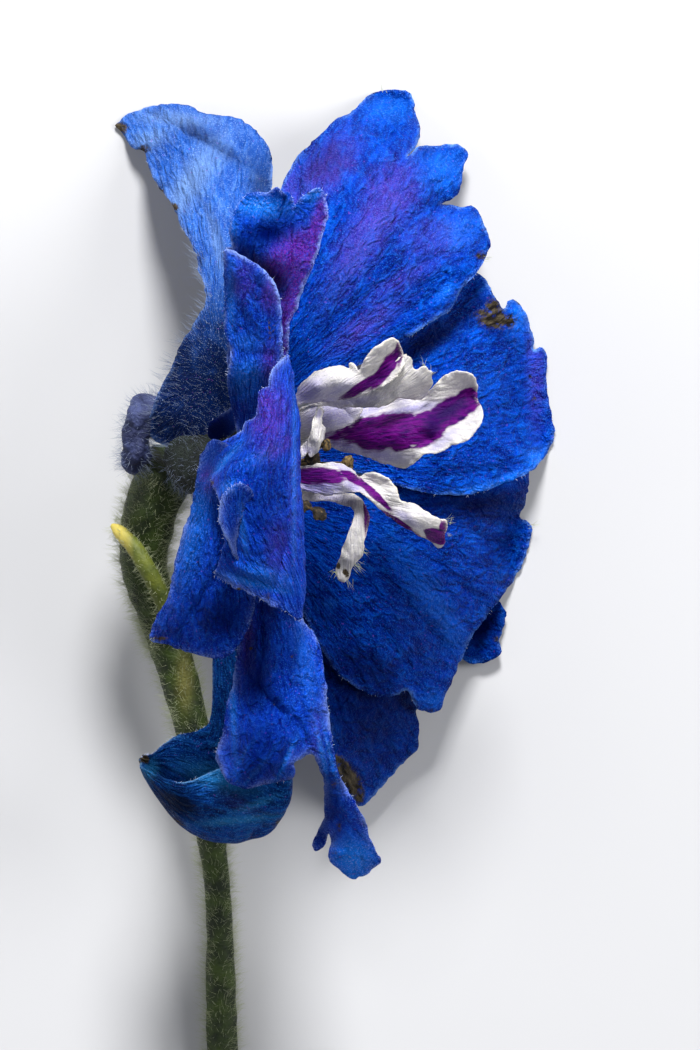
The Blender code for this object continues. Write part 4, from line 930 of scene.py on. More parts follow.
def plant_material(name, dark, pale, roughness, relief, scale, masked=None):
    """Green or dried plant skin with blotches and a fine bump."""
    material, tree, shader = base_shader(name, roughness, 0.35)
    where = add_node(tree, "ShaderNodeTexCoord").outputs["Object"]
    spot = stretched(tree, where, PER_MM)
    blotch = noise_at(tree, spot, 0.7 * scale, 4.0)
    fine = noise_at(tree, spot, 5.0 * scale, 3.0)
    colour = mixed(tree, ranged(tree, blotch, 0.35, 0.65), dark, pale)
    if masked is not None:
        masks = add_node(tree, "ShaderNodeAttribute", attribute_name="look")
        split = add_node(tree, "ShaderNodeSeparateColor", {"Color": masks.outputs["Color"]})
        colour = mixed(tree, split.outputs[1], colour, masked)
    tree.links.new(colour, shader.inputs["Base Color"])
    bump = add_node(tree, "ShaderNodeBump", {"Height": fine, "Strength": 0.8, "Distance": relief})
    tree.links.new(bump.outputs["Normal"], shader.inputs["Normal"])
    return material


def hair_material(name, roughness, specular, scale, dark, pale):
    """Hairs of one plant colour, darker and paler by turns."""
    material, tree, shader = base_shader(name, roughness, specular)
    changes = add_node(tree, "ShaderNodeTexNoise", {"Scale": scale}).outputs["Fac"]
    tree.links.new(mixed(tree, changes, dark, pale), shader.inputs["Base Color"])
    return material


# Each skin: deep, middle and lift tones, then tint, rim, brown and the light colour. The light colour is a
# painted highlight on the sepals and the lavender flush on the petals. Dark is the colour of the painted
# shade.
BLUE = petal_material(
    "sepal_blue_skin",
    (0.000, 0.007, 0.17, 1), (0.000, 0.050, 0.54, 1), (0.004, 0.19, 0.98, 1),
    (0.115, 0.048, 0.42, 1), (0.14, 0.34, 0.95, 1), (0.012, 0.009, 0.006, 1),
    (0.004, 0.17, 0.95, 1), dark=(0.0, 0.0012, 0.038, 1),
)
FRONT = petal_material(
    "sepal_front_skin",
    (0.001, 0.012, 0.24, 1), (0.003, 0.055, 0.60, 1), (0.02, 0.17, 0.90, 1),
    (0.15, 0.008, 0.26, 1), (0.24, 0.36, 0.90, 1), (0.04, 0.025, 0.02, 1),
    (0.008, 0.18, 0.80, 1),
)
SCOOPED = petal_material(
    "sepal_scoop_skin",
    (0.000, 0.008, 0.08, 1), (0.002, 0.050, 0.32, 1), (0.02, 0.20, 0.62, 1),
    (0.08, 0.03, 0.24, 1), (0.16, 0.38, 0.70, 1), (0.04, 0.03, 0.02, 1),
    (0.02, 0.22, 0.52, 1), dark=(0.000, 0.003, 0.018, 1), veins=1.6, crumple=1.0,
)
# The pale spurred sepal: its tint is a near-black navy that paints shade over the base and into the
# grooves, and its sparkle is a painted shimmer.
PALE = petal_material(
    "sepal_pale_skin",
    (0.008, 0.070, 0.40, 1), (0.03, 0.16, 0.66, 1), (0.20, 0.38, 0.85, 1),
    (0.001, 0.005, 0.055, 1), (0.16, 0.30, 0.75, 1), (0.04, 0.03, 0.025, 1),
    (0.20, 0.34, 0.58, 1), painted_sparkle=(0.42, 0.60, 0.92, 1), dark=(0.02, 0.03, 0.08, 1),
    crumple=0.7, cover=0.85, veins=1.5,
)
WHITE = petal_material(
    "petal_white_skin",
    (0.45, 0.43, 0.46, 1), (0.64, 0.615, 0.575, 1), (0.75, 0.72, 0.63, 1),
    (0.110, 0.001, 0.150, 1), (0.70, 0.67, 0.57, 1), (0.03, 0.02, 0.012, 1),
    (0.25, 0.22, 0.56, 1), roughness=0.45, relief=0.00018, specular=0.08, crisp=True,
    dark=(0.014, 0.0004, 0.060, 1),
)
GREEN = plant_material(
    "stalk_skin", (0.006, 0.014, 0.001, 1), (0.036, 0.062, 0.005, 1), 0.5, 0.0002, 1.0,
    (0.15, 0.14, 0.03, 1),
)
HEAD = plant_material(
    "head_skin", (0.003, 0.006, 0.006, 1), (0.012, 0.020, 0.014, 1), 0.7, 0.0003, 1.4,
)
BRACT = plant_material(
    "bract_skin", (0.05, 0.07, 0.008, 1), (0.12, 0.14, 0.015, 1), 0.55, 0.0001, 1.0,
    (0.62, 0.50, 0.10, 1),
)
SPUR = plant_material(
    "spur_skin", (0.008, 0.012, 0.05, 1), (0.045, 0.06, 0.16, 1), 0.7, 0.0002, 1.0,
    (0.30, 0.32, 0.60, 1),
)
ANTHER = plant_material(
    "anther_skin", (0.006, 0.005, 0.004, 1), (0.035, 0.024, 0.013, 1), 0.7, 0.00012, 3.0,
    (0.22, 0.14, 0.045, 1),
)
FRINGE = hair_material(
    "fringe_hair", 0.4, 0.4, 700.0, (0.30, 0.40, 0.85, 1), (0.80, 0.85, 0.95, 1),
)
DOWN = hair_material("sepal_hair", 0.4, 0.4, 800.0, (0.04, 0.07, 0.16, 1), (0.34, 0.40, 0.52, 1))
HAIR = hair_material("plant_hair", 0.35, 0.5, 900.0, (0.14, 0.17, 0.06, 1), (0.62, 0.66, 0.42, 1))


# Sepals. RIMS gathers the surfaces whose margins get a fringe.

RIMS = []


def far_sepal_pieces():
    surface = fine_sheet(
        UPPER_SEPAL, UPPER_HEIGHTS, (-8, 9), wave=0.9, seed=2.1, folds=0.42, net=0.24,
        relief=[
            (2.0, 26.0, 5.0, 0.5, 56, -0.4), (5.6, 25.0, 3.0, 0.4, 20, -0.3),
            (3.6, 27.0, 4.0, 0.6, 58, 0.3),
            (8.6, 22.4, 1.6, 0.4, 12, 0.4), (8.0, 18.6, 1.4, 0.5, 50, 0.5), (7.4, 28.4, 1.4, 1.2, 0, 0.5),
            (0, 17.5, 4.0, 0.4, 38, -0.3), (2, 21, 4.5, 0.4, 48, -0.25), (5.4, 17.6, 3.2, 0.4, 30, -0.35),
            (6.4, 20.4, 2.6, 0.35, 24, 0.3), (3.4, 31.0, 2.6, 0.35, 66, -0.35),
            (4.8, 30.6, 1.6, 0.3, 70, 0.3),
            (-2.6, 24.0, 5.0, 0.4, 62, -0.3),
        ],
    )
    RIMS.append(surface)
    # In these far sepals' marks, light is a painted highlight and dark is painted shade; tint and brown are
    # the sepals' own lavender and withered brown.
    add_piece("sepal_upper_fine", [blade_part(
        surface,
        tint=[
            (1.4, 23.6, 5.8, 1.5, 60, 0.8), (3.2, 26.4, 2.8, 2.0, 60, 0.85), (1.2, 16, 3.4, 1.0, 36, 0.6),
            (-1.8, 28.6, 3.0, 1.6, 50, 0.8), (6.5, 23.0, 2.6, 1.8, 10, 0.4), (-4.6, 25.5, 1.0, 4, 0, 0.6),
            (4.0, 19.6, 3.6, 0.8, 30, 0.4),
        ],
        brown=[(10.5, 21.6, 0.5, 0.4, 0, 0.8), (7.6, 25.75, 0.7, 0.16, 0, 0.5)],
        light=[(8.8, 23.6, 1.8, 1.2, 20, 0.45), (7.4, 28.6, 1.8, 1.6, 0, 0.5),
               (0.6, 21.6, 5.6, 0.5, 56, 0.3), (3.2, 33.4, 2.0, 1.2, 0, 0.4),
               (7.6, 18.6, 1.0, 0.4, 45, 0.6), (8.4, 22.3, 0.8, 0.3, 20, 0.6)],
        dark=[(-2, 29, 2.2, 1.4, 50, 0.45), (-1.5, 18, 2.0, 4.5, -30, 0.25), (-5, 13, 2.4, 2.4, 0, 0.4),
              (7.0, 25.9, 1.6, 0.3, 0, 0.5), (6.2, 29.9, 0.8, 0.7, 30, 0.4)],
    )], BLUE, ["sepal_upper"])

    surface = fine_sheet(
        RIGHT_FINE, RIGHT_FINE_HEIGHTS, (-8, 6), wave=0.5, seed=3.7, folds=0.3, net=0.16,
        relief=[
            (12.2, 16.6, 1.2, 0.35, 60, -0.5), (13.4, 17.2, 0.8, 0.7, 0, 0.4),
            (15.2, 13.6, 0.9, 0.3, 40, -0.4),
            (11, 4.4, 4.0, 0.5, 8, -0.3), (14.6, 6.4, 1.0, 0.25, -20, 0.25),
            (14.2, 5.4, 1.0, 0.22, -32, 0.25),
            (15.2, 7.4, 1.0, 0.2, -12, 0.2), (9.6, 18.8, 1.0, 0.5, 40, -0.6),
        ],
    )
    RIMS.append(surface)
    add_piece("sepal_right_fine", [blade_part(
        surface,
        tint=[(14.9, 12.5, 0.8, 4.6, 0, 0.55)],
        brown=[
            (11.6, 16.5, 1.8, 0.8, -6, 0.95), (11.6, 17.4, 0.8, 1.0, 10, 0.85),
            (13.5, 18.0, 0.6, 0.2, -40, 0.7),
            (14.8, 10.2, 0.3, 0.3, 0, 0.6), (14.4, 12, 0.25, 0.3, 0, 0.6),
        ],
        light=[(11, 3.0, 4.4, 0.4, 10, 0.8), (15.2, 5.2, 0.5, 1.4, -30, 0.6),
               (13.6, 16.8, 0.9, 1.2, -20, 0.8),
               (8, 10.4, 4.0, 1.4, 20, 0.2), (12.6, 3.5, 3.0, 0.45, 22, 1.0),
               (14.8, 5.2, 0.8, 0.8, 40, 0.9)],
        dark=[(6.0, 14.6, 4.4, 1.1, 33, 0.9), (9.6, 17.6, 1.6, 1.0, 40, 0.4), (9, 4.4, 3.4, 0.7, 5, 0.3),
              (9, 9, 7, 4, 10, 0.15), (12.2, 15.2, 1.6, 0.5, -20, 0.5)],
    )], BLUE, ["sepal_right"])

    surface = fine_sheet(
        LOWER_RIGHT_SEPAL, LOWER_RIGHT_HEIGHTS, (-10, 3.5), wave=0.5, seed=5.2, folds=0.4, net=0.16,
        relief=[
            (6, -8, 5.0, 0.5, -50, -0.35), (9, -5, 4.5, 0.5, -42, -0.35), (3, -9, 4.0, 0.5, -58, -0.3),
            (11, -1.2, 3.0, 0.4, -20, -0.3), (13.4, -0.4, 1.2, 0.4, 20, 0.4),
        ],
    )
    RIMS.append(surface)
    add_piece("sepal_lower_right_fine", [blade_part(
        surface,
        brown=[(6.4, -14.9, 0.5, 0.2, 0, 0.5)],
        light=[(6.4, -6, 6.0, 1.0, -56, 0.4), (-1.6, -6.3, 0.6, 0.4, 0, 0.5),
               (6.6, -14.0, 0.9, 0.8, 0, 0.4)],
        dark=[(9, 1.4, 7, 1.6, 4, 0.9), (-2.4, -6, 2.0, 4.0, 30, 0.6), (1, -11.4, 4.4, 2.4, -30, 0.75),
              (12.0, -2.4, 2.0, 3.0, -20, 0.5), (-1, 0.6, 2.4, 1.6, 0, 0.5), (4, -6, 9, 9, 0, 0.38)],
    )], BLUE, ["sepal_lower_right"])

    surface = fine_sheet(
        LOWER_FINE, LOWER_HEIGHTS, (-11, 3), wave=0.4, seed=6.4, folds=0.22, net=0.1,
    )
    add_piece("sepal_lower_fine", [blade_part(
        surface,
        brown=[(-0.1, -20.4, 1.9, 0.75, -62, 1.0), (-1.0, -18.8, 0.5, 0.5, 0, 0.9),
               (0.6, -22, 0.4, 0.5, 0, 0.9)],
        dark=[(1.0, -15, 6.0, 6.0, 0, 0.8), (-6, -4, 5.0, 5.0, 0, 0.8)],
    )], BLUE, ["sepal_lower"])

    surface = fine_sheet(BACK_SEPAL, BACK_HEIGHTS, (-10.6, 4.2), seed=7.0, folds=0.2, net=0.08)
    add_piece("sepal_back_fine", [blade_part(
        surface,
        brown=[(11.8, -9.3, 0.35, 0.25, 0, 0.8)],
        light=[(9.6, -11.0, 1.4, 0.25, 0, 0.6), (12.3, -7, 0.2, 1.2, 0, 0.4)],
        dark=[(10.4, -8.0, 2.4, 2.8, 0, 1.0), (8.8, -8.6, 1.8, 2.8, 0, 0.9)],
    )], BLUE, ["sepal_back"])


def spurred_sepal_piece():
    surface = fine_sheet(
        SPURRED_FINE, SPURRED_FINE_HEIGHTS, (-10.5, 12), wave=0.6, seed=1.3, folds=0.26, net=0.08,
        ruffle=0.35,
        relief=[
            (-11.6, 30.6, 5.4, 0.3, -30, -0.45), (-12.6, 31.6, 2.6, 0.7, -30, 0.35),
            (-14.9, 26.9, 0.6, 0.3, 30, -0.5), (-13.4, 24.4, 0.6, 0.3, 30, -0.5),
            (-12.3, 21.8, 0.5, 0.3, 30, -0.4),
            (-11.6, 18.4, 3.0, 0.5, 50, 0.3), (-12.6, 27.0, 5.0, 0.25, 60, -0.3),
            (-10.8, 27.0, 5.0, 0.25, 66, -0.3),
            (-14.6, 29.0, 4.0, 0.25, 48, -0.25), (-8.4, 27.4, 1.0, 3.0, 12, -0.6),
        ],
    )
    RIMS.append(surface)
    # Light marks are painted highlights and dark marks painted shade. The tint marks use the pale skin's
    # navy and so paint shade at the base and in the grooves. Brown is the withered tips.
    add_piece("sepal_spurred_fine", [blade_part(
        surface,
        tint=[(-12, 9.5, 7, 8.8, -10, 1.2), (-8.6, 17.0, 1.6, 4.5, 0, 1.2),
              (-6.6, 27.6, 0.9, 4.0, -8, 0.8), (-13.2, 23.4, 0.4, 1.0, 30, 0.8),
              (-15.4, 27.3, 0.5, 0.4, 0, 0.8), (-12.0, 21.0, 0.35, 0.8, 20, 0.8)],
        dark=[(-12.1, 31.4, 1.7, 0.8, -25, 0.7), (-10.6, 30.6, 3.6, 0.12, -30, 0.6),
              (-7.6, 27.6, 0.9, 3.2, 12, 0.5),
              (-9.6, 29.6, 1.6, 0.7, -40, 0.5), (-10.4, 23, 0.2, 4.0, 16, 0.4),
              (-12.2, 26.6, 0.2, 4.0, 24, 0.4)],
        brown=[
            (-18.5, 32.0, 0.8, 0.5, -20, 0.95), (-16.7, 30.2, 0.7, 0.35, 10, 0.9),
            (-15.3, 26.8, 0.45, 0.3, -50, 0.9), (-14.0, 25.5, 0.5, 0.25, -50, 0.9),
            (-12.2, 21.6, 0.3, 0.2, 0, 0.5), (-16.2, 28.6, 0.3, 0.5, 0, 0.5),
        ],
        light=[(-12.6, 27.5, 4.4, 1.2, 56, 0.6), (-14, 32.6, 3.4, 0.7, -5, 0.5),
               (-16, 31, 1.6, 0.8, 20, 0.5),
               (-10.6, 22.4, 0.5, 3.0, 14, 0.4)],
    )], PALE, ["sepal_spurred"])


def front_upper_sepal_piece():
    surface = fine_sheet(
        FRONT_UPPER_SEPAL, FRONT_UPPER_HEIGHTS, (-9, 7), wave=0.4, seed=8.8,
        folds=0.24, net=0.1,
        relief=[
            (-5.2, 25.6, 0.3, 1.4, -12, -0.7), (-6.6, 23.2, 1.3, 0.7, 0, -0.6),
            (-7.0, 26.4, 2.8, 1.6, 0, -1.5), (-8.6, 11.0, 3.4, 5.0, 0, -1.6),
            (-4.6, 17.5, 0.25, 4.0, -10, 0.3),
        ],
    )
    roll = fine_sheet(
        FRONT_ROLL, FRONT_ROLL_HEIGHTS, (-8, 5), seed=4.9, folds=0.22, net=0.1, step=0.24, ruffle=0.12,
        relief=[
            (-7.6, 13.7, 2.6, 0.3, -8, -0.16), (-7.4, 12.4, 2.2, 0.7, 0, 0.2),
            (-8.6, 10.6, 1.6, 0.24, 24, -0.3),
            (-6.4, 15.6, 0.3, 1.4, 8, -0.25), (-7.0, 18.8, 2.2, 0.4, -50, -0.3),
            (-7.8, 17.0, 2.2, 0.4, -56, 0.25),
        ],
    )
    RIMS.extend([surface, roll])
    # Light marks are painted highlights and dark marks painted shade; tint and brown are the sepal's own
    # magenta and brown.
    add_piece("sepal_front_upper_fine", [blade_part(
        surface,
        tint=[
            (-5, 20.9, 2.6, 1.3, 50, 1.7), (-2.8, 23.0, 0.5, 3.2, -15, 1.5),
            (-4.4, 18.0, 0.8, 3.0, -14, 1.7),
            (-7.2, 19.8, 0.9, 1.0, 0, 1.5), (-2.3, 22.4, 0.4, 3.6, -14, 1.6),
            (-4.6, 16.6, 0.4, 3.4, -10, 1.6),
        ],
        rim=0.05,
        brown=[(-6.3, 15.5, 0.12, 1.0, 5, 0.6)],
        light=[(-6.9, 25.3, 2.2, 0.9, 0, 1.0), (-3, 26.4, 1.0, 0.7, 0, 0.9),
               (-9.4, 23.6, 0.5, 1.4, 0, 0.6)],
        dark=[(-6.5, 23.1, 2.2, 1.1, 10, 1.0), (-7.4, 19.6, 1.8, 1.2, -20, 0.8),
              (-10.6, 7.8, 1.8, 2.0, 0, 1.0)],
    ), blade_part(
        roll, rim=0.14,
        tint=[(-6.2, 18.4, 0.8, 1.4, 0, 0.8), (-6.2, 12.6, 0.8, 1.8, 0, 0.6),
              (-8.4, 19.4, 1.0, 1.4, 0, 0.4)],
        brown=[(-6.35, 15.5, 0.1, 1.0, 5, 0.8), (-6.0, 15.6, 0.08, 0.8, -8, 0.6)],
        dark=[(-6.8, 18.2, 1.6, 0.5, -52, 0.5), (-9.6, 10.6, 0.8, 2.2, 0, 0.4)],
        light=[(-8.2, 14.6, 1.4, 0.7, 0, 0.3), (-8.2, 11.6, 1.6, 1.4, 30, 0.6),
               (-9.4, 18, 0.4, 3.0, 0, 0.5)],
    )],
    FRONT, ["sepal_front_upper"])


def front_sepal_piece():
    fold = fine_patch(
        FRONT_FOLD, 170, 120, net=0.11, seed=3.3, frill=0.2,
        relief=[
            (-9.1, 0.4, 0.9, 2.4, 0, -0.8), (-5.7, -3.4, 0.3, 2.6, -14, -0.5),
            (-8.2, -3.6, 1.4, 0.4, -30, 0.4),
            (-7.0, -4.6, 1.6, 0.4, -25, -0.4), (-7.4, 7.6, 1.6, 0.4, 50, 0.3),
        ],
    )
    left = fine_sheet(
        FRONT_LEFT, FRONT_LEFT_HEIGHTS, (-10.5, 6), seed=2.7, folds=0.3, net=0.12, ruffle=0.25,
        relief=[(-11.4, -5.4, 3.0, 0.5, 60, -0.6), (-13, -3, 4.0, 0.7, 72, 0.4)],
    )
    ear = fine_sheet(EAR, EAR_HEIGHTS, (-9, -2), seed=6.1, folds=0.05, net=0.06, step=0.2)
    # Light marks are painted highlights and dark marks painted shade; tint and brown are the sepal's own
    # purple and brown specks.
    marks = {
        "tint": [
            (-6.4, 8.6, 1.4, 3.0, 0, 0.7), (-5.8, -2, 0.9, 2.4, 0, 0.35), (-4.6, 3, 0.5, 6.0, 0, 0.2),
            (-6.0, 6.2, 1.6, 0.8, 40, 0.6), (-11.2, 3.6, 0.8, 1.2, 0, 0.5),
        ],
        "brown": [
            (-10.8, 3.3, 0.22, 0.16, 0, 0.8), (-8.8, -5, 0.2, 0.2, 0, 0.7), (-6.6, -5.6, 0.2, 0.3, 0, 0.7),
            (-15.2, -9, 0.8, 0.25, 0, 0.7),
        ],
        "light": [(-12.4, 0, 1.2, 4.6, -12, 0.55), (-9.6, 3.0, 0.8, 0.5, 30, 0.5),
                  (-7.4, -4.6, 2.6, 0.4, -14, 0.8),
                  (-10.2, 4.6, 2.4, 0.3, 48, 0.8), (-4.6, 4.0, 0.2, 7.0, 0, 0.6),
                  (-7.2, 5.4, 1.6, 0.5, 30, 0.3), (-6.6, -4.0, 2.0, 0.8, -16, 0.5),
                  (-8.4, -0.2, 0.25, 2.0, 8, 0.7)],
        "dark": [(-10.4, -7.4, 2.6, 1.8, -10, 0.85), (-13.6, -8.4, 1.6, 0.8, -20, 0.5),
                 (-9.2, -6.4, 1.4, 0.6, -30, 0.5), (-6.8, 1.2, 2.0, 4.0, 0, 0.55)],
    }
    place = fold[0][:, :2] - NOTCH_START
    notch = np.interp(place @ NOTCH_ALONG, NOTCH_AT, NOTCH_DEPTHS)
    shift = notch * np.clip(1 + (place @ NOTCH_OUT) / NOTCH_FADE, 0, 1)
    fold[0][:, 0] += NOTCH_OUT[0] * shift
    fold[0][:, 1] += NOTCH_OUT[1] * shift
    # The veins run across the rows here, so the two directions of the flow change places.
    fold = (fold[0], fold[1], fold[2][:, ::-1], fold[3])
    RIMS.extend([fold, left, ear])
    add_piece("sepal_front_fine", [
        blade_part(fold, **marks, rim=0.3), blade_part(left, **marks, rim=0.22),
        blade_part(ear, **marks, rim=0.24, middle=0.3),
    ], FRONT, ["sepal_front"])


def front_lower_sepal_piece():
    surface = fine_sheet(
        FRONT_LOWER_SEPAL, FRONT_LOWER_HEIGHTS, (-8, 3), wave=0.4, seed=4.4,
        folds=0.3, net=0.12, ruffle=0.2,
        relief=[
            (-5.5, -19.0, 2.2, 0.3, 66, -0.6), (-7.6, -17.4, 2.4, 1.6, 60, 0.5),
            (-6.0, -14.2, 3.0, 0.5, -50, -0.7),
            (-6.9, -9.6, 0.5, 5.0, 2, -0.5), (-8.2, -20.4, 1.6, 0.3, 40, -0.3),
            (-8.0, -10, 0.5, 4.0, 4, -0.3), (-1.4, -21, 0.25, 2.4, 0, 0.3),
        ],
    )
    RIMS.append(surface)
    # Light marks are painted highlights and dark marks painted shade; tint and brown are the sepal's own
    # purple and brown specks.
    add_piece("sepal_front_lower_fine", [blade_part(
        surface,
        tint=[(-8.2, -9.0, 0.6, 2.6, 0, 0.6), (-2.8, -16.4, 0.4, 1.6, 0, 0.3)],
        brown=[
            (-7.8, -9.8, 0.18, 0.14, 0, 0.8), (-4.6, -10.5, 0.14, 0.2, 0, 0.7),
            (-6.3, -12.3, 0.16, 0.14, 0, 0.8), (-6.0, -14.3, 0.16, 0.14, 0, 0.7),
            (-1.3, -20.6, 0.3, 0.3, 0, 0.7), (-0.8, -24.0, 0.3, 0.4, 0, 0.7),
            (-1.2, -26.2, 0.3, 0.2, 0, 0.6),
        ],
        light=[(-3.6, -11, 0.8, 4.2, 10, 0.25), (0.3, -26.6, 1.6, 1.6, 0, 1.0),
               (0.4, -28.2, 2.4, 0.5, 0, 1.0), (-5.2, -18.8, 2.0, 0.2, 66, 1.0),
               (-2.3, -18.2, 0.16, 3.0, 14, 0.9), (-1.5, -18.8, 0.14, 3.0, 14, 0.8),
               (-7.6, -19.6, 2.2, 0.16, 50, 0.6),
               (-8.4, -18.4, 2.4, 0.14, 56, 0.6), (-6.6, -20.8, 1.8, 0.14, 44, 0.6),
               (-9.3, -14, 0.25, 6.0, 4, 0.8)],
        dark=[(-7.6, -12, 1.6, 4.2, 0, 0.85), (-7.4, -17.8, 3.0, 3.2, 0, 0.8),
              (-1.2, -21.6, 1.0, 2.6, 0, 0.6),
              (-5.4, -6.6, 2.4, 0.8, 0, 0.5), (-6.2, -14.6, 0.25, 2.4, -35, 0.6),
              (-2.3, -24, 0.7, 2.2, 0, 0.6),
              (-3.6, -19.6, 1.0, 2.2, 0, 0.4)],
        rim=0.24,
    )], FRONT, ["sepal_front_lower"])


def scoop_sepal_piece():
    surface = fine_patch(SCOOP, 130, 90, net=0.07, seed=5.5, frill=0.1)
    RIMS.append(surface)
    # Light marks are painted highlights and dark marks painted shade; tint and brown are the sepal's own
    # purple and brown.
    add_piece("sepal_scoop_fine", [blade_part(
        surface,
        tint=[(-9, -22, 1.6, 0.6, -30, 0.3)],
        brown=[(-16.5, -18.7, 0.4, 0.4, 0, 0.9), (-13.6, -23.6, 0.9, 0.2, -30, 0.5),
               (-5.6, -23.4, 0.9, 0.2, 40, 0.6)],
        light=[(-10.5, -20.2, 3.2, 0.9, -15, 0.6), (-9, -23.4, 3.2, 0.35, 6, 0.6),
               (-7.6, -22.2, 2.0, 0.3, 20, 0.5),
               (-16.0, -19.6, 0.6, 0.8, 0, 0.8)],
        dark=[(-13.6, -22.0, 2.2, 1.2, -30, 0.9), (-8.4, -21.4, 1.6, 0.8, 0, 0.5),
              (-15.4, -20, 1.2, 1.0, 0, 0.5)],
    )], SCOOPED, ["sepal_scoop"])


def petal_pieces():
    # On the petals the light marks are their lavender flush and the dark marks are painted shade; tint and
    # brown are their own purple stripe and brown specks.
    plans = (
        ("petal_top", PETAL_TOP_FINE, PETAL_TOP_FINE_HEIGHTS, (-8, 7), 1.1, {
            "tint": [(1.0, 11.1, 2.0, 0.36, 32, 1.3), (2.9, 12.5, 1.7, 0.55, 52, 1.6),
                     (3.9, 13.6, 0.3, 0.9, 0, 1.3)],
            "dark": [(2.0, 11.6, 1.8, 0.4, 40, 0.5)],
            "light": [(-3.6, 10.4, 1.8, 0.9, 25, 0.8), (-1.0, 10.8, 1.4, 0.5, 20, 0.5),
                      (-2, 9.8, 2.4, 0.5, 5, 0.6)],
        }),
        ("petal_top_back", PETAL_TOP_BACK_FINE, PETAL_TOP_BACK_FINE_HEIGHTS, (0, 8), 1.4, {
            "light": [(0.4, 9.9, 2.0, 0.4, 8, 0.5), (6.2, 10.0, 0.5, 0.8, -20, 0.3)],
        }),
        ("petal_middle", PETAL_MIDDLE_FINE, PETAL_MIDDLE_FINE_HEIGHTS, (-9, 6), 1.8, {
            "tint": [
                (0.2, 7.2, 2.6, 0.9, 0, 0.62), (3.2, 7.4, 3.0, 1.15, 2, 2.0), (6.0, 7.6, 1.5, 1.1, 30, 2.0),
                (8.0, 9.0, 1.7, 0.9, 25, 2.0), (9.5, 10.0, 0.8, 0.9, 20, 1.8),
            ],
            "light": [(4.4, 9.0, 3.0, 0.4, 14, 0.75), (7.4, 6.6, 1.6, 0.4, 38, 0.45),
                      (1.8, 5.7, 2.8, 0.7, -8, 0.75), (-0.6, 6.4, 2.0, 0.9, -20, 0.9),
                      (1.0, 9.0, 2.0, 0.5, 20, 0.6),
                      (-1.6, 7.9, 1.4, 0.8, 10, 0.7), (4.2, 9.8, 0.8, 0.5, 0, 0.3)],
            "dark": [(7.8, 9.0, 2.2, 0.8, 28, 1.0), (6.6, 7.9, 0.9, 1.0, 0, 0.9),
                     (3.2, 6.7, 2.4, 0.14, 3, 0.3)],
        }),
        ("petal_lower", PETAL_LOWER_FINE, PETAL_LOWER_FINE_HEIGHTS, (-8.5, 4), 2.2, {
            "tint": [
                (-2.8, 3.9, 2.4, 0.6, -2, 1.3), (0.2, 3.7, 1.2, 0.34, -30, 1.3),
                (1.8, 2.5, 1.9, 0.24, -42, 1.5),
                (4.0, 0.1, 1.8, 0.26, -34, 1.3), (6.8, -0.8, 0.8, 0.5, -30, 1.8),
                (7.4, -0.5, 0.34, 0.8, 0, 1.6),
            ],
            "light": [(-2.6, 3.1, 2.2, 0.9, 0, 1.0), (0.2, 3.0, 1.0, 0.4, -20, 0.7),
                      (-0.6, 4.6, 1.0, 0.3, -20, 0.6), (4.6, 0.5, 1.2, 0.3, -34, 0.5)],
            "dark": [(-3.4, 4.0, 1.8, 0.7, 0, 0.5)],
        }),
        ("petal_hanging", PETAL_HANGING_FINE, PETAL_HANGING_FINE_HEIGHTS, (0.6, 6), 2.6, {
            "tint": [(1.45, 0.5, 0.32, 1.9, 4, 2.0)], "light": [(-1.6, 2.0, 1.6, 0.6, 0, 0.5)],
            "brown": [(-0.35, -3.8, 0.22, 0.4, 20, 1.0), (1.5, -0.6, 0.14, 0.9, 5, 0.8),
                      (-0.9, -3.2, 0.2, 0.3, 0, 0.9)],
        }),
        ("staminode", STAMINODE_FINE, STAMINODE_FINE_HEIGHTS, (-3.4, 0), 3.0, {
            "light": [(-2.5, 8.9, 0.5, 0.5, 0, 0.6), (-3.4, 5.9, 0.6, 0.4, 0, 0.5)],
        }),
    )
    for name, outline, heights, root, seed, marks in plans:
        surface = fine_sheet(
            outline, heights, root, seed=seed, folds=0.08, net=0.022, frill=0.1, ruffle=0.26,
            step=PETAL_FINE,
        )
        parts = [blade_part(surface, **marks, middle=0.34, margin=0.1)]
        if name == "petal_middle":
            base = fine_sheet(
                MIDDLE_BASE, MIDDLE_BASE_HEIGHTS, (-7, 6.5), seed=4.2, folds=0.08, net=0.03, step=0.18,
                ruffle=0.15,
            )
            parts.append(blade_part(base, light=[(-1.6, 8.6, 2.6, 1.2, 10, 0.7)], middle=0.3, margin=0.1))
        add_piece(name + "_fine", parts, WHITE, [name])


# Hairs.


def hair_part(roots, ways, lengths, radius, rng, droop=0.35):
    """Thin curved bristles, three sides each, as points and triangles."""
    count = len(roots)
    ways = ways / np.linalg.norm(ways, axis=1)[:, None]
    other = np.cross(ways, rng.normal(size=(count, 3)))
    other /= np.linalg.norm(other, axis=1)[:, None]
    third = np.cross(ways, other)
    bend = rng.normal(size=(count, 3)) * droop * 0.4
    lengths = lengths[:, None]
    points = np.zeros((count, 7, 3))
    for k in range(3):
        turn = 2 * math.pi * k / 3
        out = other * math.cos(turn) + third * math.sin(turn)
        points[:, k] = roots + out * radius
        points[:, 3 + k] = roots + ways * lengths * 0.5 + bend * lengths * 0.12 + out * radius * 0.7
    points[:, 6] = roots + ways * lengths * 0.95 + bend * lengths * 0.5
    one = []
    for k in range(3):
        n = (k + 1) % 3
        one += [(k, n, 3 + n), (k, 3 + n, 3 + k), (3 + k, 3 + n, 6)]
    faces = (np.array(one)[None] + np.arange(count)[:, None, None] * 7).reshape(-1, 3)
    points = points.reshape(-1, 3)
    return points, faces, np.zeros((len(points), 2)), np.zeros((len(points), 5))


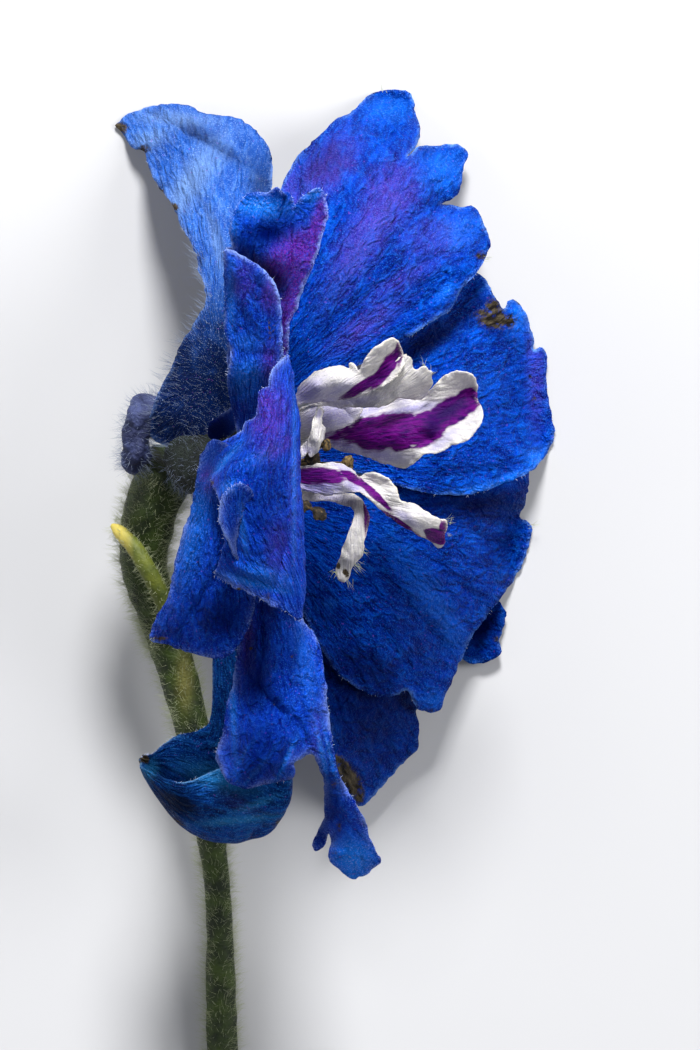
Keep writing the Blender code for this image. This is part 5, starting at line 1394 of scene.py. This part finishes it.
def tube_hairs(path, radii, number, length, rng, lift=0.25, radius=0.02, start=0.0, end=1.0):
    """Bristles standing out all round a stem."""
    number = int(number * HAIR_SHARE)
    path, radii = np.array(path, float), np.array(radii, float)
    steps = np.linalg.norm(np.diff(path, axis=0), axis=1)
    run = np.concatenate([[0], np.cumsum(steps)]) / steps.sum()
    at = rng.uniform(start, end, number)
    centre = np.column_stack([np.interp(at, run, path[:, k]) for k in range(3)])
    ahead = np.gradient(path, axis=0)
    ahead = np.column_stack([np.interp(at, run, ahead[:, k]) for k in range(3)])
    ahead /= np.linalg.norm(ahead, axis=1)[:, None]
    size = np.interp(at, run, radii)
    turn = rng.uniform(0, 2 * math.pi, number)
    first = np.cross(ahead, np.array([0.0, 0.0, 1.0]))
    first /= np.linalg.norm(first, axis=1)[:, None]
    second = np.cross(first, ahead)
    out = first * np.cos(turn)[:, None] + second * np.sin(turn)[:, None]
    roots = centre + out * (size * 0.96)[:, None]
    ways = out + ahead * rng.normal(lift, 0.4, number)[:, None] + rng.normal(0, 0.3, (number, 3))
    lengths = length * rng.uniform(0.45, 1.25, number)
    keep = (roots[:, 2] > 0.4) & (rng.random(number) < 1.0 - 0.7 * np.clip(out[:, 2], 0, 1))
    down = np.minimum(1.0, np.maximum(0.05, (roots[:, 2] - 0.1) / 1.4))
    lengths = np.where(ways[:, 2] < 0, lengths * down, lengths)
    return hair_part(roots[keep], ways[keep], lengths[keep], radius, rng)


def skin_hairs(surface, number, length, rng, weight, lean, radius):
    """Bristles on the upper face of a blade, thicker where the weight is high."""
    number = int(number * HAIR_SHARE)
    points, faces, _, gap = surface
    normals = vertex_normals(points, faces)
    if np.mean(normals[:, 2]) < 0:
        normals = -normals
    share = weight(points, gap)
    share = share / share.sum()
    chosen = rng.choice(len(points), number, p=share)
    roots = points[chosen] + rng.normal(0, 0.1, (number, 3)) * np.array([1, 1, 0])
    roots = roots + normals[chosen] * 0.08
    ways = normals[chosen] + np.array(lean) + rng.normal(0, 0.35, (number, 3))
    return hair_part(roots, ways, length * rng.uniform(0.5, 1.3, number), radius, rng)


def fringe_pieces():
    """The short fringe on the margins, and a few tufts."""
    rng = np.random.default_rng(7)
    parts = []
    for surface in RIMS:
        points, away = margin_ways(surface)
        count = int(len(points) * 0.9 * HAIR_SHARE)
        chosen = rng.integers(0, len(points), count)
        patchy = np.array([noise.noise(Vector(p * 0.45)) for p in points[chosen]])
        chosen = chosen[patchy > -0.05]
        ways = away[chosen] + rng.normal(0, 0.5, (len(chosen), 3))
        lengths = rng.uniform(0.1, 0.42, len(chosen)) ** 1.2
        roots = points[chosen] - away[chosen] * 0.03
        parts.append(hair_part(roots, ways, lengths, 0.017, rng))
    add_piece("margin_fringe", parts, FRINGE, [])

    # Place, direction, length and number of hairs of each tuft.
    tufts = (
        ((6.0, 12.5, 22.6), (0.2, 1.0, 0.3), 0.8, 8), ((6.5, 11.9, 22.4), (0.8, 0.8, 0.3), 0.7, 6),
        ((7.7, 0.3, 20.4), (1.0, 0.4, 0.2), 0.7, 7), ((7.6, -0.8, 20.0), (1.0, -0.3, 0.1), 0.6, 5),
        ((0.3, -3.2, 20.0), (0.8, -0.7, 0.1), 1.0, 12), ((-0.2, -4.3, 19.0), (0.2, -1.0, -0.1), 1.2, 8),
        ((0.9, -1.9, 20.4), (1.0, -0.4, 0.2), 0.8, 10), ((-1.1, -3.6, 19.4), (-1.0, -0.3, 0.1), 0.6, 6),
        ((2.8, 34.9, 1.0), (-0.2, 1.0, 0.3), 0.9, 4), ((10.9, 21.2, 6.4), (1.0, 0.1, 0.4), 0.8, 6),
        ((-15.6, -9.2, 23.6), (-0.7, -0.7, 0.1), 0.6, 6), ((14.4, -0.2, 0.8), (1.0, 0.2, 0.3), 0.8, 5),
    )
    parts = []
    for spot, way, length, count in tufts:
        roots = np.array(spot) + rng.normal(0, 0.16, (count, 3))
        ways = np.array(way) + rng.normal(0, 0.35, (count, 3))
        parts.append(hair_part(roots, ways, length * rng.uniform(0.5, 1.3, count), 0.018, rng, droop=0.9))
    add_piece("loose_hairs", parts, HAIR, [])


# The stalk, its bracteole, the spur and the heart of the flower.


def widths_along(widths, count):
    return spline([[w] for w in widths], np.linspace(0, len(widths) - 1, count))[:, 0]


def rod_part(path, widths, rings, sides, lumps=0.0, seed=0.0, rough=0.0, masks=None):
    """A round body along a path, with a rough skin and a mask for its second colour."""
    path = smooth_path(path, rings) if len(path) != rings else np.array(path)
    widths = widths_along(widths, rings)
    points, faces = tube(path, widths, sides, lumps=lumps, seed=seed)
    faces = facing_out(points, faces)
    if rough:
        normals = vertex_normals(points, faces)
        push = np.array([
            noise.noise(Vector(p * 1.6)) + 0.5 * noise.noise(Vector(p * 4.0)) for p in points
        ])
        points = points + normals * (push * rough)[:, None]
    look = np.zeros((len(points), 5))
    if masks is not None:
        look[:, 1] = masks(points)
    return points, faces, points[:, :2].copy(), look


def stem_pieces():
    """Stalk, bracteole, spur and receptacle with their hairs, and the spurred sepal's."""
    rng = np.random.default_rng(11)
    skin = rod_part(
        STALK, STALK_WIDTHS, 240, 48, lumps=0.08, rough=0.05,
        masks=lambda p: spots_mask(p, [(-13.3, -12.5, 0.7, 2.4, 0, 0.8)]),
    )
    add_piece("stalk_skin", [skin], GREEN, ["stalk"])
    path = smooth_path(STALK, 160)
    widths = widths_along(STALK_WIDTHS, 160)
    hairs = [
        tube_hairs(path, widths, 7000, 1.25, rng, lift=0.5, radius=0.013, end=0.75),
        tube_hairs(path, widths, 5400, 1.4, rng, lift=0.5, radius=0.013, start=0.7),
    ]
    add_piece("stalk_hairs", hairs, HAIR, [])

    skin = rod_part(
        BRACT_PATH, BRACT_WIDTHS, 90, 28, rough=0.04,
        masks=lambda p: np.clip((-17.3 - p[:, 0]) / 1.4, 0, 1),
    )
    add_piece("bracteole_skin", [skin], BRACT, ["bracteole"])
    path = smooth_path(BRACT_PATH, 40)
    hairs = [tube_hairs(path, np.linspace(0.4, 0.66, 40), 520, 0.8, rng, lift=-0.3)]
    add_piece("bracteole_hairs", hairs, HAIR, [])

    skin = rod_part(SPUR_PATH, SPUR_WIDTHS, 110, 56, lumps=0.35, seed=3.0, rough=0.14)
    add_piece("spur_skin", [skin], SPUR, ["spur"])
    path = smooth_path(SPUR_PATH, 40)
    widths = widths_along(SPUR_WIDTHS, 40)
    hairs = [tube_hairs(path, widths, 1000, 1.2, rng, lift=0.3, radius=0.014)]
    add_piece("spur_hairs", hairs, DOWN, [])

    skin = rod_part(RECEPTACLE, RECEPTACLE_WIDTHS, 60, 48, rough=0.16)
    add_piece("receptacle_skin", [skin], HEAD, ["receptacle"])
    path = smooth_path(RECEPTACLE, 40)
    widths = widths_along(RECEPTACLE_WIDTHS, 40)
    hairs = [tube_hairs(path, widths, 1800, 1.2, rng, lift=0.5, radius=0.012)]
    add_piece("receptacle_hairs", hairs, DOWN, [])

    surface = fine_sheet(
        SPURRED_FINE, SPURRED_FINE_HEIGHTS, (-10.5, 12), wave=0.6, seed=1.3, folds=0.26, net=0.08, step=0.5,
    )
    hairs = [
        skin_hairs(
            surface, 300, 1.0, rng,
            lambda p, gap: np.clip((19.5 - p[:, 1]) / 9, 0.0, 1) * np.exp(-gap / 5) + 1e-9,
            lean=(-0.7, 0.5, -0.3), radius=0.011,
        ),
        skin_hairs(
            surface, 320, 1.2, rng,
            lambda p, gap: np.exp(-gap / 0.25) * (p[:, 0] < -8) * (p[:, 1] < 22) + 1e-9,
            lean=(-1.6, 0.7, -0.6), radius=0.015,
        ),
    ]
    add_piece("sepal_hairs", hairs, DOWN, [])


def heart_pieces():
    """The anthers on their filaments."""
    parts = []
    for index, (tip, radius, foot, yellow) in enumerate(ANTHERS):
        tip, foot = np.array(tip), np.array(foot)
        middle = (tip + foot) / 2 + np.array([0.0, 0.0, 0.35])
        rod = rod_part([foot, middle, tip], [0.22, 0.2, 0.17, 0.16, 0.16], 30, 10, rough=0.03)
        rod[3][:, 1] = 0.25
        parts.append(rod)
        ball = [tip + np.array([s * radius * 0.95, 0.0, 0.0]) for s in (-1, -0.6, 0, 0.6, 1)]
        swell = [radius * f for f in (0.35, 0.85, 1.0, 0.85, 0.35)]
        grains = rod_part(ball, swell, 28, 30, lumps=0.5, seed=index * 3.0, rough=0.22)
        speck = np.array([noise.noise(Vector(p * 5.0)) for p in grains[0]])
        grains[3][:, 1] = np.clip(yellow + 1.9 * speck, 0, 1)
        parts.append(grains)
    foot = [(-8.0, 5.0, 18.5), (-7.6, 4.9, 18.7), (-6.9, 4.8, 19.1), (-6.5, 4.7, 19.3)]
    parts.append(rod_part(foot, [0.5, 0.8, 0.75, 0.4], 20, 20, rough=0.05))
    add_piece("stamens_fine", parts, ANTHER, ["stamens"])


# The room.

FLOOR_DROP = 0.0001  # keeps the floor just under the flower
CAMERA_PLACE = (0.00136, 0.00543, 2.014)  # straight over the photo's middle
SENSOR_WIDTH = 36  # mm
LENS = 857  # mm


def paint(name, colour, roughness):
    material, _, shader = base_shader(name, roughness, 0.2)
    shader.inputs["Base Color"].default_value = colour
    return material


def area_light(name, place, target, size, power):
    light = bpy.data.lights.new(name, "AREA")
    light.shape = "DISK"
    light.size = size
    light.energy = power
    obj = bpy.data.objects.new(name, light)
    obj.location = place
    way = Vector(target) - Vector(place)
    obj.rotation_euler = way.to_track_quat("-Z", "Y").to_euler()
    bpy.context.scene.collection.objects.link(obj)


def room():
    """The floor, the sky, three lights and the camera, in metres."""
    mesh = bpy.data.meshes.new("floor")
    half = 3.0
    mesh.from_pydata(
        [(-half, -half, 0), (half, -half, 0), (half, half, 0), (-half, half, 0)], [], [(0, 1, 2, 3)],
    )
    mesh.materials.append(paint("floor_pale", (0.56, 0.56, 0.57, 1), 0.9))
    floor = bpy.data.objects.new("floor", mesh)
    floor.location = (0, 0, -FLOOR_DROP)
    bpy.context.scene.collection.objects.link(floor)

    bpy.context.scene.view_settings.view_transform = "Standard"
    world = bpy.data.worlds.new("soft_sky")
    world.use_nodes = True
    world.node_tree.nodes["Background"].inputs["Color"].default_value = (0.86, 0.90, 1.0, 1)
    world.node_tree.nodes["Background"].inputs["Strength"].default_value = 0.22
    bpy.context.scene.world = world

    middle = (0.0, 0.0, 0.015)
    area_light("key_from_above", (0.02, 0.42, 0.34), middle, 0.14, 4.8)
    area_light("fill_left", (-0.45, 0.02, 0.35), middle, 0.4, 0.8)
    area_light("fill_right", (0.40, 0.1, 0.4), middle, 0.3, 1.7)

    camera = bpy.data.objects.new("camera", bpy.data.cameras.new("camera"))
    camera.data.sensor_width = SENSOR_WIDTH
    camera.data.lens = LENS
    camera.data.clip_start = 0.1
    camera.data.clip_end = 20
    camera.location = CAMERA_PLACE
    bpy.context.scene.collection.objects.link(camera)
    bpy.context.scene.camera = camera


far_sepal_pieces()
spurred_sepal_piece()
front_upper_sepal_piece()
front_sepal_piece()
front_lower_sepal_piece()
scoop_sepal_piece()
petal_pieces()
stem_pieces()
heart_pieces()
fringe_pieces()
room()
